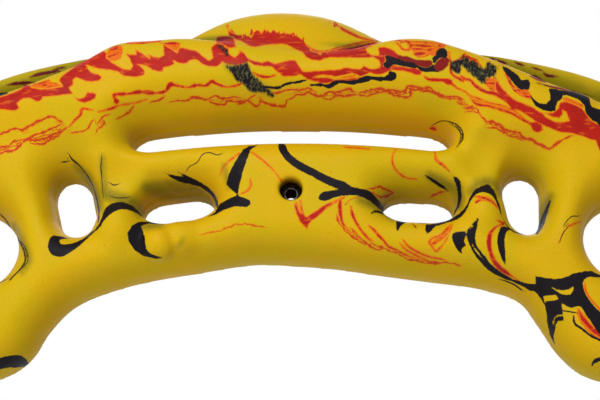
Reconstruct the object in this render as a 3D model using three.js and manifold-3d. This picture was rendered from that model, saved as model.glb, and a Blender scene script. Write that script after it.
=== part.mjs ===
// Climbing training beam for a wall: one arched resin casting with a finger slot, two finger pockets,
// two upright holes, two large end holes and a jug rail along the top. Five steel washers are bonded
// into its bolt holes. Millimetres. X runs along the beam, Z is up, the climber stands on the -Y side
// and the flat wall face lies at Y = 0. The origin is on the wall face, on the middle of the beam.
import * as THREE from "three";
import { mergeVertices } from "three/addons/utils/BufferGeometryUtils.js";
import Module from "manifold-3d";

// Overall sizes of the casting.
const beamWidth = 720;
const beamHeight = 324; // from the lowest lobe up to the wall ridge, without the crown
const railDepth = 68;
const lowerDepth = 56;
const halfWidth = beamWidth / 2;

// Edges of the casting: each is rolled over from a short straight wall to the full depth.
const edgeWall = 10;
const outlineRoll = 34;
const holeRoll = 32;
const blend = 20; // how softly the rolled edges run into each other

// Jug rail: the front lip, the finger groove behind it and the wall flange behind that.
const lipRoll = 28;
const lipReach = 24; // from the crest of the lip to the front
const lipOverrun = 6; // of its roll past the front
const lipBlend = 8;
const flangeDepth = 19;
const flangeRoll = 12;
const flangeWall = 4;
const grooveRadius = 15;
const grooveSetBack = 29; // from the wall face to the middle of the groove
const grooveLift = 4; // of the groove's middle over the lip
const grooveHalfLength = 298;
const grooveBlend = 8;

// Crown: the rounded hump in the middle of the wall flange.
const crownHalfWidth = 104;
const crownReach = 38;
const crownHeight = 54;
const crownBlend = 18;

// Holes, as they leave the casting at the wall. They rise towards the climber.
const holeTilt = THREE.MathUtils.degToRad(10);
const slotWidth = 297;
const slotHeight = 23.5;
const slotEnd = 24; // length of its drawn-in ends
const slotSag = 10; // drop of the slot's ends below its middle
const pocketWidth = 66;
const pocketHeight = 27;
const pocketEnd = 24;
const uprightWidth = 34;
const uprightHeight = 61;
const uprightEnd = 21;
const endHoleWidth = 74;
const endHoleHeight = 78;

// Knuckles where the posts between the holes meet the lower bar, with a scoop above each of them, and
// a nodule with a tail beside it on the bar.
const knuckleWidth = 42;
const knuckleHeight = 50;
const knuckleReach = 29;
const knuckleSetBack = 34;
const knuckleBlend = 7;
const knuckleTrim = 5; // how softly the holes cut the knuckles
const scoopRadius = 27;
const scoopSetBack = 71; // from the wall face to the middle of the scoop
const scoopBlend = 10;
const noduleRadius = 16;
const noduleSetBack = 47;
const noduleBlend = 3;
const tailRadius = 11;
const tailSetBack = 44;
const tailBlend = 12;

// Bolt holes, with a washer at the bottom of each counterbore.
const boltBore = 11;
const counterbore = 21;
const seatThickness = 32; // of resin between the wall and the washer
const washerOuter = 20.4;
const washerInner = 10.5;
const washerThickness = 2.5;
const washerClearance = 0.3; // between the washer and the resin behind it

// Fineness of the mesh.
const cellsAcross = 66;
const cellsDeep = 8;
const gridDrop = 80; // at the ends of the mesh's grid, which is bent like the beam
const outlineSteps = 260;
const roundSteps = 32;
const flatness = 0.2; // edges that bend less than this are dropped after cutting
const overrun = 5; // of every cutter past the face that it cuts

// Shares of half the beam's width, and of its height from the lobes up.
const originShare = 0.441;
const outlineShares = [
  [0, 1], [0.278, 0.995], [0.444, 0.975], [0.556, 0.958], [0.764, 0.901], [0.875, 0.84],
  [0.953, 0.745], [0.992, 0.62], [1, 0.472], [0.992, 0.302], [0.958, 0.132], [0.883, 0.024],
  [0.789, -0.002], [0.714, 0.02], [0.656, 0.077], [0.608, 0.16], [0.564, 0.226], [0.464, 0.265],
  [0.336, 0.285], [0.208, 0.304], [0.106, 0.321], [0, 0.331], [-0.111, 0.335], [-0.253, 0.311],
  [-0.431, 0.273], [-0.567, 0.213], [-0.631, 0.139], [-0.669, 0.068], [-0.717, 0.024], [-0.789, 0],
  [-0.883, 0.024], [-0.958, 0.132], [-0.992, 0.302], [-1, 0.472], [-0.992, 0.62], [-0.953, 0.745],
  [-0.875, 0.84], [-0.764, 0.901], [-0.556, 0.958], [-0.444, 0.975], [-0.278, 0.995],
];
const lipShares = [
  [-1, 0.808], [-0.919, 0.801], [-0.839, 0.782], [-0.764, 0.799], [-0.631, 0.858], [-0.572, 0.887],
  [-0.469, 0.951], [-0.375, 0.963], [-0.292, 0.969], [-0.167, 0.956], [-0.056, 0.935], [0, 0.929],
  [0.111, 0.932], [0.214, 0.959], [0.278, 0.969], [0.336, 0.966], [0.381, 0.953], [0.486, 0.911],
  [0.592, 0.861], [0.639, 0.836], [0.736, 0.796], [0.769, 0.777], [0.839, 0.771], [0.919, 0.796],
  [1, 0.808],
];
const openTopShare = 0.3; // how much higher the front's outline runs than the wall face's
const openShares = [0.6, 0.85]; // heights between which it parts from the wall face's
const closedShares = [0.72, 0.92]; // places across between which it joins it again
const depthStepShares = [0.63, 0.78]; // heights between which the depth grows to that of the rail
const crownShare = [-0.042, 0.935];
const slotShare = [-0.018, 0.7];
const slotLean = THREE.MathUtils.degToRad(0.3);
const pocketShares = [[-0.306, 0.476], [0.308, 0.474]];
const pocketLeans = [8, -2].map(THREE.MathUtils.degToRad);
const uprightShares = [[-0.572, 0.482], [0.577, 0.491]];
const uprightLeans = [13, 2].map(THREE.MathUtils.degToRad);
const uprightTaperShares = [0.04, 0.24]; // of their width, from top to bottom
const endHoleShares = [[-0.818, 0.356], [0.832, 0.381]];
const knuckleShares = [[-0.453, 0.41], [0.464, 0.453]];
const scoopShares = [[-0.453, 0.553], [0.467, 0.6]];
const noduleShare = [-0.349, 0.364];
const tailShare = [-0.297, 0.381];
const boltShares = {
  centre: [-0.019, 0.519],
  upper_left: [-0.833, 0.651],
  upper_right: [0.833, 0.651],
  lower_left: [-0.828, 0.114],
  lower_right: [0.828, 0.114],
};

const place = ([across, up]) => [across * halfWidth, (up - originShare) * beamHeight];

// Soft minimum and maximum: the two forms run into each other over the given width.
const softMin = (a, b, width) => {
  const near = Math.max(width - Math.abs(a - b), 0) / width;
  return Math.min(a, b) - (near * near * width) / 4;
};
const softMax = (a, b, width) => -softMin(-a, -b, width);

// Distance to a plate whose edge is a straight wall and then rolls over to the full depth.
// The first argument is the distance inside that edge, seen from the front.
function rolledPlate(inside, y, roll, wall, depth) {
  const across = roll - inside;
  const outward = ((-y - wall) * roll) / (depth - wall);
  const corner = Math.hypot(Math.max(across, 0), Math.max(outward, 0));
  return corner + Math.min(Math.max(across, outward), 0) - roll;
}

// Distance to an ellipsoid about its centre, near enough close to its surface.
function ellipsoid(dx, dy, dz, rx, ry, rz) {
  const scaled = Math.hypot(dx / rx, dy / ry, dz / rz);
  const gradient = Math.hypot(dx / rx ** 2, dy / ry ** 2, dz / rz ** 2);
  return gradient ? (scaled * (scaled - 1)) / gradient : -Math.min(rx, ry, rz);
}

// Smooth closed line through the places given by shares.
function smoothRing(shares) {
  const ring = shares.map(place).map(([x, z]) => new THREE.Vector3(x, 0, z));
  return new THREE.CatmullRomCurve3(ring, true).getPoints(outlineSteps).slice(1);
}
// The lip line ends the front of the casting at the top, so the outline of the front is left open there.
const outline = smoothRing(outlineShares);
const frontOutline = smoothRing(
  outlineShares.map(([across, up]) => {
    const opened = THREE.MathUtils.smoothstep(up, ...openShares);
    const closed = THREE.MathUtils.smoothstep(Math.abs(across), ...closedShares);
    return [across, up + openTopShare * Math.max(opened - closed, 0)];
  }),
);

// Distance inside an outline, negative outside it.
function insideOf(outline, x, z) {
  let nearest = Infinity;
  let within = false;
  outline.forEach((a, i) => {
    const b = outline[(i + 1) % outline.length];
    const [ex, ez] = [b.x - a.x, b.z - a.z];
    const along = THREE.MathUtils.clamp(((x - a.x) * ex + (z - a.z) * ez) / (ex * ex + ez * ez), 0, 1);
    nearest = Math.min(nearest, Math.hypot(x - a.x - along * ex, z - a.z - along * ez));
    if (a.z > z !== b.z > z && x < a.x + (ex * (z - a.z)) / ez) within = !within;
  });
  return within ? nearest : -nearest;
}

// Height of the jug rail's lip along the beam, and its slope.
const lipPoints = lipShares.map((share) => new THREE.Vector2(...place(share)));
const lipLine = new THREE.SplineCurve(lipPoints).getPoints(outlineSteps);
function lipAt(x) {
  const next = THREE.MathUtils.clamp(lipLine.findIndex((p) => p.x > x), 1, lipLine.length - 1);
  const [a, b] = [lipLine[next - 1], lipLine[next]];
  const slope = (b.y - a.y) / (b.x - a.x);
  return { height: a.y + slope * (x - a.x), upright: 1 / Math.hypot(1, slope) };
}

// Distance outside a hole, leaned in the front view and narrower at its bottom. Its corners are quarters
// of an ellipse with the given radii.
function aroundHole(x, z, [holeX, holeZ], [width, height], [cornerX, cornerZ], lean = 0, taper = 0) {
  const up = (z - holeZ) * Math.cos(lean) - (x - holeX) * Math.sin(lean);
  const narrowed = 1 + taper * THREE.MathUtils.clamp(up / height, -1 / 2, 1 / 2);
  const along = ((x - holeX) * Math.cos(lean) + (z - holeZ) * Math.sin(lean)) / narrowed;
  const pastX = Math.max(Math.abs(along) - (width / 2 - cornerX), 0);
  const pastZ = Math.max(Math.abs(up) - (height / 2 - cornerZ), 0);
  return ellipsoid(pastX, 0, pastZ, cornerX, Infinity, cornerZ);
}

function aroundSlot(x, z) {
  const [slotX, slotZ] = place(slotShare);
  const sag = slotSag * ((x - slotX) / (slotWidth / 2)) ** 2;
  const corner = [slotEnd, slotHeight / 2];
  return aroundHole(x, z + sag, [slotX, slotZ], [slotWidth, slotHeight], corner, slotLean);
}

function aroundPocket(x, z, side) {
  const size = [pocketWidth, pocketHeight];
  return aroundHole(x, z, place(pocketShares[side]), size, [pocketEnd, pocketHeight / 2], pocketLeans[side]);
}

function aroundUpright(x, z, side) {
  const [at, size] = [place(uprightShares[side]), [uprightWidth, uprightHeight]];
  const corner = [uprightWidth / 2, uprightEnd];
  return aroundHole(x, z, at, size, corner, uprightLeans[side], uprightTaperShares[side]);
}

function aroundEndHole(x, z, side) {
  const [width, height] = [endHoleWidth, endHoleHeight];
  return aroundHole(x, z, place(endHoleShares[side]), [width, height], [width / 2, width / 2]);
}

// Distances outside all the holes, at a height measured along their tilt.
function aroundHoles(x, tilted) {
  const pairs = [aroundPocket, aroundUpright, aroundEndHole];
  return [aroundSlot(x, tilted), ...pairs.flatMap((around) => [around(x, tilted, 0), around(x, tilted, 1)])];
}

// Distance to the finished form of the casting, negative inside it. It runs a little past the wall face.
function castForm(x, y, z) {
  const [deepFrom, deepTo] = depthStepShares.map((share) => place([0, share])[1]);
  const depth = lowerDepth + (railDepth - lowerDepth) * THREE.MathUtils.smoothstep(z, deepFrom, deepTo);
  const holes = aroundHoles(x, z + y * Math.tan(holeTilt));
  const lip = lipAt(x);

  let inside = insideOf(frontOutline, x, z);
  for (const hole of holes) inside = softMin(inside, (hole * outlineRoll) / holeRoll, blend);
  const front = rolledPlate(inside, y, outlineRoll, edgeWall, depth);
  const underLip = (lip.height - z) * lip.upright;
  const rail = rolledPlate(underLip, y, lipRoll, depth - lipReach, depth + lipOverrun);
  const flange = rolledPlate(insideOf(outline, x, z), y, flangeRoll, flangeWall, flangeDepth);
  let form = Math.min(softMax(front, rail, lipBlend), flange);

  const pastEnd = Math.max(Math.abs(x) - grooveHalfLength, 0);
  const groove = Math.hypot(pastEnd, y + grooveSetBack, underLip + grooveLift) - grooveRadius;
  form = softMax(form, -groove, grooveBlend);

  const [crownX, crownZ] = place(crownShare);
  const crown = ellipsoid(x - crownX, y, z - crownZ, crownHalfWidth, crownReach, crownHeight);
  form = softMin(form, crown, crownBlend);
  for (const share of scoopShares) {
    const [scoopX, scoopZ] = place(share);
    const scoop = Math.hypot(x - scoopX, y + scoopSetBack, z - scoopZ) - scoopRadius;
    form = softMax(form, -scoop, scoopBlend);
  }
  for (const share of knuckleShares) {
    const [knuckleX, knuckleZ] = place(share);
    const away = [x - knuckleX, y + knuckleSetBack, z - knuckleZ];
    const knuckle = ellipsoid(...away, knuckleWidth / 2, knuckleReach, knuckleHeight / 2);
    form = softMin(form, knuckle, knuckleBlend);
  }
  for (const hole of holes) form = softMax(form, -hole, knuckleTrim);

  const [noduleX, noduleZ] = place(noduleShare);
  const nodule = Math.hypot(x - noduleX, y + noduleSetBack, z - noduleZ) - noduleRadius;
  const [tailX, tailZ] = place(tailShare);
  const tail = Math.hypot(x - tailX, y + tailSetBack, z - tailZ) - tailRadius;
  return softMin(softMin(form, tail, tailBlend), nodule, noduleBlend);
}

// Corners, edges and faces of one cell of the grid. An edge is numbered by its direction and by its
// place around that direction, so that the four cells around a grid edge can each find their own.
const directions = [[1, 0, 0], [0, 1, 0], [0, 0, 1]];
const squareRing = [[0, 0], [1, 0], [1, 1], [0, 1]];
const sideways = (axis, m, n) => {
  const [u, v] = [directions[(axis + 1) % 3], directions[(axis + 2) % 3]];
  return [0, 1, 2].map((c) => m * u[c] + n * v[c]);
};
const cellEdges = directions.flatMap((step, axis) =>
  [[0, 0], [0, 1], [1, 0], [1, 1]].map(([m, n]) => {
    const start = sideways(axis, m, n);
    return { start, end: start.map((c, i) => c + step[i]) };
  }),
);
const joins = (edge, a, b) => [`${a}|${b}`, `${b}|${a}`].includes(`${edge.start}|${edge.end}`);
const cellFaces = directions.flatMap((step, axis) =>
  [0, 1].map((side) => {
    const ring = squareRing.map(([m, n]) => sideways(axis, m, n).map((c, i) => c + side * step[i]));
    return ring.map((corner, i) => ({
      corner,
      edge: cellEdges.findIndex((edge) => joins(edge, corner, ring[(i + 1) % ring.length])),
    }));
  }),
);

// Grid edges of one cell that the surface crosses, gathered into one set for each sheet of the surface.
function sheetsOf(isInside) {
  const sheet = cellEdges.map((edge, i) => i);
  for (const face of cellFaces) {
    face.forEach(({ corner }, i) => {
      const before = face.at(i - 1);
      if (!isInside(corner) || isInside(before.corner)) return;
      let last = i;
      while (isInside(face[(last + 1) % 4].corner)) last += 1;
      const [from, to] = [sheet[face[last % 4].edge], sheet[before.edge]];
      sheet.forEach((number, edge) => {
        if (number === from) sheet[edge] = to;
      });
    });
  }
  const sets = new Map();
  cellEdges.forEach(({ start, end }, edge) => {
    if (isInside(start) === isInside(end)) return;
    sets.set(sheet[edge], [...(sets.get(sheet[edge]) ?? []), edge]);
  });
  return [...sets.values()];
}

// Closed mesh of the form. Every sheet of the surface that passes through a cell of the grid gets one
// vertex there, and every grid edge that the surface crosses gets a quad between its four cells.
function meshOfForm() {
  const cell = [beamWidth / cellsAcross, railDepth / cellsDeep, beamWidth / cellsAcross];
  const crownTop = place(crownShare)[1] + crownHeight;
  const low = [-halfWidth, -railDepth, place([0, 0])[1]].map((edge, axis) => edge - 2 * cell[axis]);
  const high = [halfWidth, 0, crownTop].map((edge, axis) => edge + 2 * cell[axis]);
  const counts = low.map((edge, axis) => Math.ceil((high[axis] - edge) / cell[axis]) + 1);
  const at = (indices) => {
    const [x, y, z] = indices.map((n, axis) => low[axis] + n * cell[axis]);
    return [x, y, z - gridDrop * (x / halfWidth) ** 2];
  };
  const key = ([i, j, k]) => (i * counts[1] + j) * counts[2] + k;
  const everyPoint = (first, visit) => {
    for (let i = first; i < counts[0] - 1; i += 1) {
      for (let k = first; k < counts[2] - 1; k += 1) {
        for (let j = first; j < counts[1] - 1; j += 1) visit([i, j, k]);
      }
    }
  };

  const values = new Float32Array(counts[0] * counts[1] * counts[2]).fill(beamWidth);
  everyPoint(1, (point) => {
    const [x, y, z] = at(point);
    values[key(point)] = Math.max(castForm(x, y, z), y - cell[1]);
  });
  const valueAt = (point, corner) => values[key(point.map((n, axis) => n + corner[axis]))];

  const vertexOf = new Map();
  const positions = [];
  everyPoint(0, (point) => {
    const isInside = (corner) => valueAt(point, corner) < 0;
    for (const edges of sheetsOf(isInside)) {
      const middle = new THREE.Vector3();
      for (const edge of edges) {
        const { start, end } = cellEdges[edge];
        const [from, to] = [valueAt(point, start), valueAt(point, end)];
        middle.add(new THREE.Vector3(...start).lerp(new THREE.Vector3(...end), from / (from - to)));
        vertexOf.set(key(point) * cellEdges.length + edge, positions.length);
      }
      middle.divideScalar(edges.length).add(new THREE.Vector3(...point));
      positions.push(new THREE.Vector3(...at(middle.toArray())));
    }
  });

  const triangles = [];
  everyPoint(1, (point) => {
    directions.forEach((step, axis) => {
      const from = valueAt(point, [0, 0, 0]) < 0;
      if (from === valueAt(point, step) < 0) return;
      const ring = squareRing.map(([m, n]) => {
        const back = sideways(axis, m, n);
        const edge = axis * 4 + m * 2 + n;
        return vertexOf.get(key(point.map((c, i) => c - back[i])) * cellEdges.length + edge);
      });
      if (!from) ring.reverse();
      const [a, b, c, d] = ring;
      const acrossFirst = positions[a].distanceTo(positions[c]) < positions[b].distanceTo(positions[d]);
      triangles.push(...(acrossFirst ? [a, b, c, a, c, d] : [a, b, d, b, c, d]));
    });
  });

  for (const p of positions) if (p.y < 0) pullToSurface(p, Math.min(...cell));
  const geometry = new THREE.BufferGeometry();
  const places = positions.flatMap((p) => p.toArray());
  geometry.setAttribute("position", new THREE.Float32BufferAttribute(places, 3));
  geometry.setIndex(triangles);
  return geometry;
}

// Moves a vertex of the grid onto the form's surface.
function pullToSurface(p, cell) {
  const nudge = cell / 50;
  for (let pass = 0; pass < 3; pass += 1) {
    const value = castForm(p.x, p.y, p.z);
    const slope = new THREE.Vector3(
      castForm(p.x + nudge, p.y, p.z) - value,
      castForm(p.x, p.y + nudge, p.z) - value,
      castForm(p.x, p.y, p.z + nudge) - value,
    ).divideScalar(nudge);
    const step = THREE.MathUtils.clamp(value / Math.max(slope.lengthSq(), 1 / 4), -cell / 4, cell / 4);
    p.addScaledVector(slope, -step);
  }
}

const wasm = await Module();
wasm.setup();

function solidOf(geometry) {
  const bare = geometry.clone();
  bare.deleteAttribute("normal");
  bare.deleteAttribute("uv");
  const merged = mergeVertices(bare);
  return new wasm.Manifold(
    new wasm.Mesh({
      numProp: 3,
      vertProperties: merged.attributes.position.array,
      triVerts: new Uint32Array(merged.index.array),
    }),
  );
}

function geometryOf(solid) {
  const mesh = solid.getMesh();
  const geometry = new THREE.BufferGeometry();
  geometry.setAttribute("position", new THREE.BufferAttribute(mesh.vertProperties, 3));
  geometry.setIndex(new THREE.BufferAttribute(mesh.triVerts, 1));
  geometry.computeVertexNormals();
  return geometry;
}

// Solid turned about the Y axis from a profile of [radius, distance from the wall] points.
function turned(profile, [x, z]) {
  const points = profile.map(([radius, out]) => new THREE.Vector2(radius, out));
  const geometry = new THREE.LatheGeometry(points, roundSteps);
  return geometry.rotateX(Math.PI).translate(x, 0, z);
}

// Bore and counterbore of one bolt hole.
function boltCutter(at) {
  const profile = [
    [0, -overrun],
    [boltBore / 2, -overrun],
    [boltBore / 2, seatThickness],
    [counterbore / 2, seatThickness],
    [counterbore / 2, railDepth + overrun],
    [0, railDepth + overrun],
  ];
  return turned(profile, at);
}

function castingGeometry() {
  const wallCut = new THREE.BoxGeometry(beamWidth * 2, beamWidth, beamHeight * 4);
  wallCut.translate(0, beamWidth / 2, 0);
  let solid = solidOf(meshOfForm()).subtract(solidOf(wallCut));
  for (const share of Object.values(boltShares)) solid = solid.subtract(solidOf(boltCutter(place(share))));
  return geometryOf(solid.simplify(flatness));
}

function washerGeometry(at) {
  const back = seatThickness + washerClearance;
  const front = back + washerThickness;
  const [inner, outer] = [washerInner / 2, washerOuter / 2];
  return turned([[inner, back], [outer, back], [outer, front], [inner, front], [inner, back]], at);
}

const resin = new THREE.MeshStandardMaterial({ color: 0xd6b40f, roughness: 0.55, metalness: 0 });
const steel = new THREE.MeshStandardMaterial({ color: 0x8f8d88, roughness: 0.4, metalness: 1 });

const beam = new THREE.Group();
const casting = new THREE.Mesh(castingGeometry(), resin);
casting.name = "resin_casting";
beam.add(casting);
for (const [name, share] of Object.entries(boltShares)) {
  const washer = new THREE.Mesh(washerGeometry(place(share)), steel);
  washer.name = `washer_${name}`;
  beam.add(washer);
}

export default beam;
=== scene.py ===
import math

import bmesh
import bpy
import numpy as np
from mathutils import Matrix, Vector


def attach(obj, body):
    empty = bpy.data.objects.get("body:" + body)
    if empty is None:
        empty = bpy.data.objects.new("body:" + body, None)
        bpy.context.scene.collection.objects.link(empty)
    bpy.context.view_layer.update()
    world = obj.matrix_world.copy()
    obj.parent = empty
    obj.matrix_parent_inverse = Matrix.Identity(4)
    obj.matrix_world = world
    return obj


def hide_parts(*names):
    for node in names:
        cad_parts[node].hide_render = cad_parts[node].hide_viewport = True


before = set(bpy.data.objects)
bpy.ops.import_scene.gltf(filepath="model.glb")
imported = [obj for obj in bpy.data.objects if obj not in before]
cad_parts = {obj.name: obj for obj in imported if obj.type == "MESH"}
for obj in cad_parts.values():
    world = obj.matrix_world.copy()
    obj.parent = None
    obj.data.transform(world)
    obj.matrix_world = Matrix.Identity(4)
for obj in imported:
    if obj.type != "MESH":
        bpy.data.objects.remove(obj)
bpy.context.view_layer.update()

# Camera
# The beam is seen as it hangs on the wall: straight on, from a little below, so close that both
# ends run out of the picture.
lens, sensor = 85.0, 36.0
picture = (600, 400)
looking_up = math.radians(15)
camera_distance = 1.3
aimed_at = np.array([0.0014, -0.030, 0.021])
view_forward = np.array([0.0, math.cos(looking_up), math.sin(looking_up)])
view_up = np.array([0.0, -math.sin(looking_up), math.cos(looking_up)])
camera_place = aimed_at - camera_distance * view_forward

camera_data = bpy.data.cameras.new("camera")
camera_data.lens = lens
camera_data.sensor_width = sensor
camera_data.clip_end = 20
camera = bpy.data.objects.new("camera", camera_data)
camera.location = camera_place
camera.rotation_euler = (math.pi / 2 + looking_up, 0, 0)
bpy.context.scene.collection.objects.link(camera)
bpy.context.scene.camera = camera

# Resin casting: its form
# The whole beam is one piece of resin poured into an open mould: rounded bars that run into each
# other around seven holes, a jug rail with a finger groove behind its lip, and a flat sanded back.
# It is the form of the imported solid, but finer and with a slightly fuller crown.

# Sizes are in millimetres. Places are (across, up) shares of the half width, from the middle, and
# of the height, from the bottom.
beam_width, beam_height = 720.0, 324.0
rail_depth, lower_depth = 68.0, 56.0
half_width = beam_width / 2
origin_share = 0.441
outline_shares = [
    (0, 1), (0.278, 0.995), (0.444, 0.975), (0.556, 0.958), (0.764, 0.901), (0.875, 0.84),
    (0.953, 0.745), (0.992, 0.62), (1, 0.472), (0.992, 0.302), (0.958, 0.132), (0.883, 0.024),
    (0.789, -0.002), (0.714, 0.02), (0.656, 0.077), (0.608, 0.16), (0.564, 0.226), (0.464, 0.265),
    (0.336, 0.285), (0.208, 0.304), (0.106, 0.321), (0, 0.331), (-0.111, 0.335), (-0.253, 0.311),
    (-0.431, 0.273), (-0.567, 0.213), (-0.631, 0.139), (-0.669, 0.068), (-0.717, 0.024),
    (-0.789, 0), (-0.883, 0.024), (-0.958, 0.132), (-0.992, 0.302), (-1, 0.472), (-0.992, 0.62),
    (-0.953, 0.745), (-0.875, 0.84), (-0.764, 0.901), (-0.556, 0.958), (-0.444, 0.975),
    (-0.278, 0.995),
]
lip_shares = [
    (-1, 0.808), (-0.919, 0.801), (-0.839, 0.782), (-0.764, 0.799), (-0.631, 0.858),
    (-0.572, 0.887), (-0.469, 0.951), (-0.375, 0.963), (-0.292, 0.969), (-0.167, 0.956),
    (-0.056, 0.935), (0, 0.929), (0.111, 0.932), (0.214, 0.959), (0.278, 0.969), (0.336, 0.966),
    (0.381, 0.953), (0.486, 0.911), (0.592, 0.861), (0.639, 0.836), (0.736, 0.796), (0.769, 0.777),
    (0.839, 0.771), (0.919, 0.796), (1, 0.808),
]
# Holes: the slot's middle, lean in degrees and sag, the sizes of all kinds, and how they rise.
slot_share, slot_lean, slot_sag = (-0.018, 0.7), 0.3, 10
slot_size, pocket_size, upright_size, end_hole_size = (297, 23.5), (66, 27), (34, 61), (74, 78)
long_corner, upright_corner = 24, 21
hole_rise = math.tan(math.radians(10))
# Lumps and hollows: where their middles lie, how far out from the wall, and their radii.
crown_share, crown_out, crown_radii = (-0.042, 0.935), 0, (99, 46, 54)
knuckle_shares, knuckle_out, knuckle_radii = [(-0.453, 0.41), (0.464, 0.453)], 34, (21, 29, 25)
scoop_shares, scoop_out, scoop_radius = [(-0.453, 0.553), (0.467, 0.6)], 71, 27
nodule_share, nodule_out, nodule_radius = (-0.349, 0.364), 47, 16
tail_share, tail_out, tail_radius = (-0.297, 0.381), 44, 11
groove_half_length, groove_out, groove_over_lip, groove_radius = 298, 29, 4, 15
# Edges: how far in they roll over, and how far from the wall that starts. The lip's roll starts a
# little short of the front and would end a little past it.
body_roll, body_wall, hole_roll = 34, 10, 32
lip_roll, lip_short, lip_past = 28, 24, 6
flange_roll, flange_wall, flange_depth = 12, 4, 19
rim_out, rim_round = 44, 4
bolt_shares = {
    "centre": (-0.019, 0.519), "upper_left": (-0.833, 0.651), "upper_right": (0.833, 0.651),
    "lower_left": (-0.828, 0.114), "lower_right": (0.828, 0.114),
}
bolt_bore, counterbore, seat_thickness = 11.0, 21.0, 32.0


def placed(across, up):
    return across * half_width, (up - origin_share) * beam_height


def smooth_step(value, low, high):
    t = np.clip((value - low) / (high - low), 0, 1)
    return t * t * (3 - 2 * t)


def soft_min(a, b, width):
    near = np.maximum(width - np.abs(a - b), 0) / width
    return np.minimum(a, b) - near * near * width / 4


def soft_max(a, b, width):
    return -soft_min(-a, -b, width)


def smooth_line(points, steps, closed=False):
    """Rounded line through points of any dimension, with its points evenly shared out."""
    p = np.asarray(points, float)
    if closed:
        p = np.concatenate([p[-1:], p, p[:2]])
    else:
        p = np.concatenate([2 * p[:1] - p[1:2], p, 2 * p[-1:] - p[-2:-1]])
    t = np.linspace(0, len(p) - 3, steps, endpoint=not closed)
    i = np.minimum(t.astype(int), len(p) - 4)
    t = (t - i)[:, None]
    a, b, c, d = (p[i + n] for n in range(4))
    gap = [np.maximum(np.linalg.norm(v - u, axis=1, keepdims=True), 1e-6) ** 0.5
           for u, v in ((a, b), (b, c), (c, d))]
    leave = ((b - a) / gap[0] - (c - a) / (gap[0] + gap[1]) + (c - b) / gap[1]) * gap[1]
    reach = ((c - b) / gap[1] - (d - b) / (gap[1] + gap[2]) + (d - c) / gap[2]) * gap[1]
    bend = 3 * (c - b) - 2 * leave - reach
    return b + t * (leave + t * (bend + t * (2 * (b - c) + leave + reach)))


def inside_of(ring, x, z):
    """Distance inside a closed line, negative outside it."""
    nearest = np.full(np.broadcast(x, z).shape, np.inf)
    within = np.zeros(nearest.shape, bool)
    for (ax, az), (bx, bz) in zip(ring, np.roll(ring, -1, axis=0)):
        ex, ez = bx - ax, bz - az
        t = np.clip(((x - ax) * ex + (z - az) * ez) / (ex * ex + ez * ez), 0, 1)
        nearest = np.minimum(nearest, (x - ax - t * ex) ** 2 + (z - az - t * ez) ** 2)
        if az != bz:
            within ^= ((az > z) != (bz > z)) & (x < ax + ex * (z - az) / ez)
    return np.where(within, 1, -1) * np.sqrt(nearest)


def rounded(shares, steps=260, closed=False):
    """Rounded line through places of the beam's front, in millimetres."""
    return smooth_line([placed(*share) for share in shares], steps, closed)


lip = rounded(lip_shares)


def lip_height(x):
    return np.interp(x, lip[:, 0], lip[:, 1])


def rolled_plate(inside, y, roll, wall, depth):
    """Distance to a plate whose front edge rolls over, from the distance inside its outline."""
    across = roll - inside
    outward = (-y - wall) * roll / (depth - wall)
    corner = np.hypot(np.maximum(across, 0), np.maximum(outward, 0))
    return corner + np.minimum(np.maximum(across, outward), 0) - roll


def from_middle(x, y, z, share, out):
    middle_x, middle_z = placed(*share)
    return x - middle_x, y + out, z - middle_z


def ball(dx, dy, dz, radius):
    return np.sqrt(dx**2 + dy**2 + dz**2) - radius


def ellipsoid(dx, dy, dz, radii):
    rx, ry, rz = radii
    scaled = np.sqrt((dx / rx) ** 2 + (dy / ry) ** 2 + (dz / rz) ** 2)
    slope = np.sqrt((dx / rx**2) ** 2 + (dy / ry**2) ** 2 + (dz / rz**2) ** 2)
    return scaled * (scaled - 1) / np.maximum(slope, 1e-6)


def around_hole(x, z, share, size, corner, lean=0.0, taper=0.0):
    """Distance outside a hole with elliptical corners, leaned and narrower at its bottom."""
    hole_x, hole_z = placed(*share)
    lean = math.radians(lean)
    up = (z - hole_z) * math.cos(lean) - (x - hole_x) * math.sin(lean)
    narrowed = 1 + taper * np.clip(up / size[1], -0.5, 0.5)
    along = ((x - hole_x) * math.cos(lean) + (z - hole_z) * math.sin(lean)) / narrowed
    past_x = np.maximum(np.abs(along) - (size[0] / 2 - corner[0]), 0)
    past_z = np.maximum(np.abs(up) - (size[1] / 2 - corner[1]), 0)
    scaled = np.hypot(past_x / corner[0], past_z / corner[1])
    slope = np.hypot(past_x / corner[0] ** 2, past_z / corner[1] ** 2)
    return np.where(slope > 0, scaled * (scaled - 1) / np.maximum(slope, 1e-6), -min(corner))


def around_holes(x, z):
    sag = slot_sag * ((x - placed(*slot_share)[0]) / (slot_size[0] / 2)) ** 2
    slot_corner, pocket_corner = (long_corner, slot_size[1] / 2), (long_corner, pocket_size[1] / 2)
    yield around_hole(x, z + sag, slot_share, slot_size, slot_corner, slot_lean)
    for share, lean in (((-0.306, 0.476), 8), ((0.308, 0.474), -2)):
        yield around_hole(x, z, share, pocket_size, pocket_corner, lean)
    for share, lean, taper in (((-0.572, 0.482), 13, 0.04), ((0.577, 0.491), 2, 0.24)):
        corner = (upright_size[0] / 2, upright_corner)
        yield around_hole(x, z, share, upright_size, corner, lean, taper)
    for share in ((-0.818, 0.356), (0.832, 0.381)):
        yield around_hole(x, z, share, end_hole_size, (end_hole_size[0] / 2, end_hole_size[0] / 2))


def front_share(across, up):
    """The front's outline is raised along the rail, where the lip ends the front instead."""
    opened = smooth_step(up, 0.6, 0.85) - smooth_step(abs(across), 0.72, 0.92)
    return across, up + 0.3 * max(opened, 0)


def from_bolt(x, z, share):
    bolt_x, bolt_z = placed(*share)
    return np.hypot(x - bolt_x, z - bolt_z)


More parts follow.
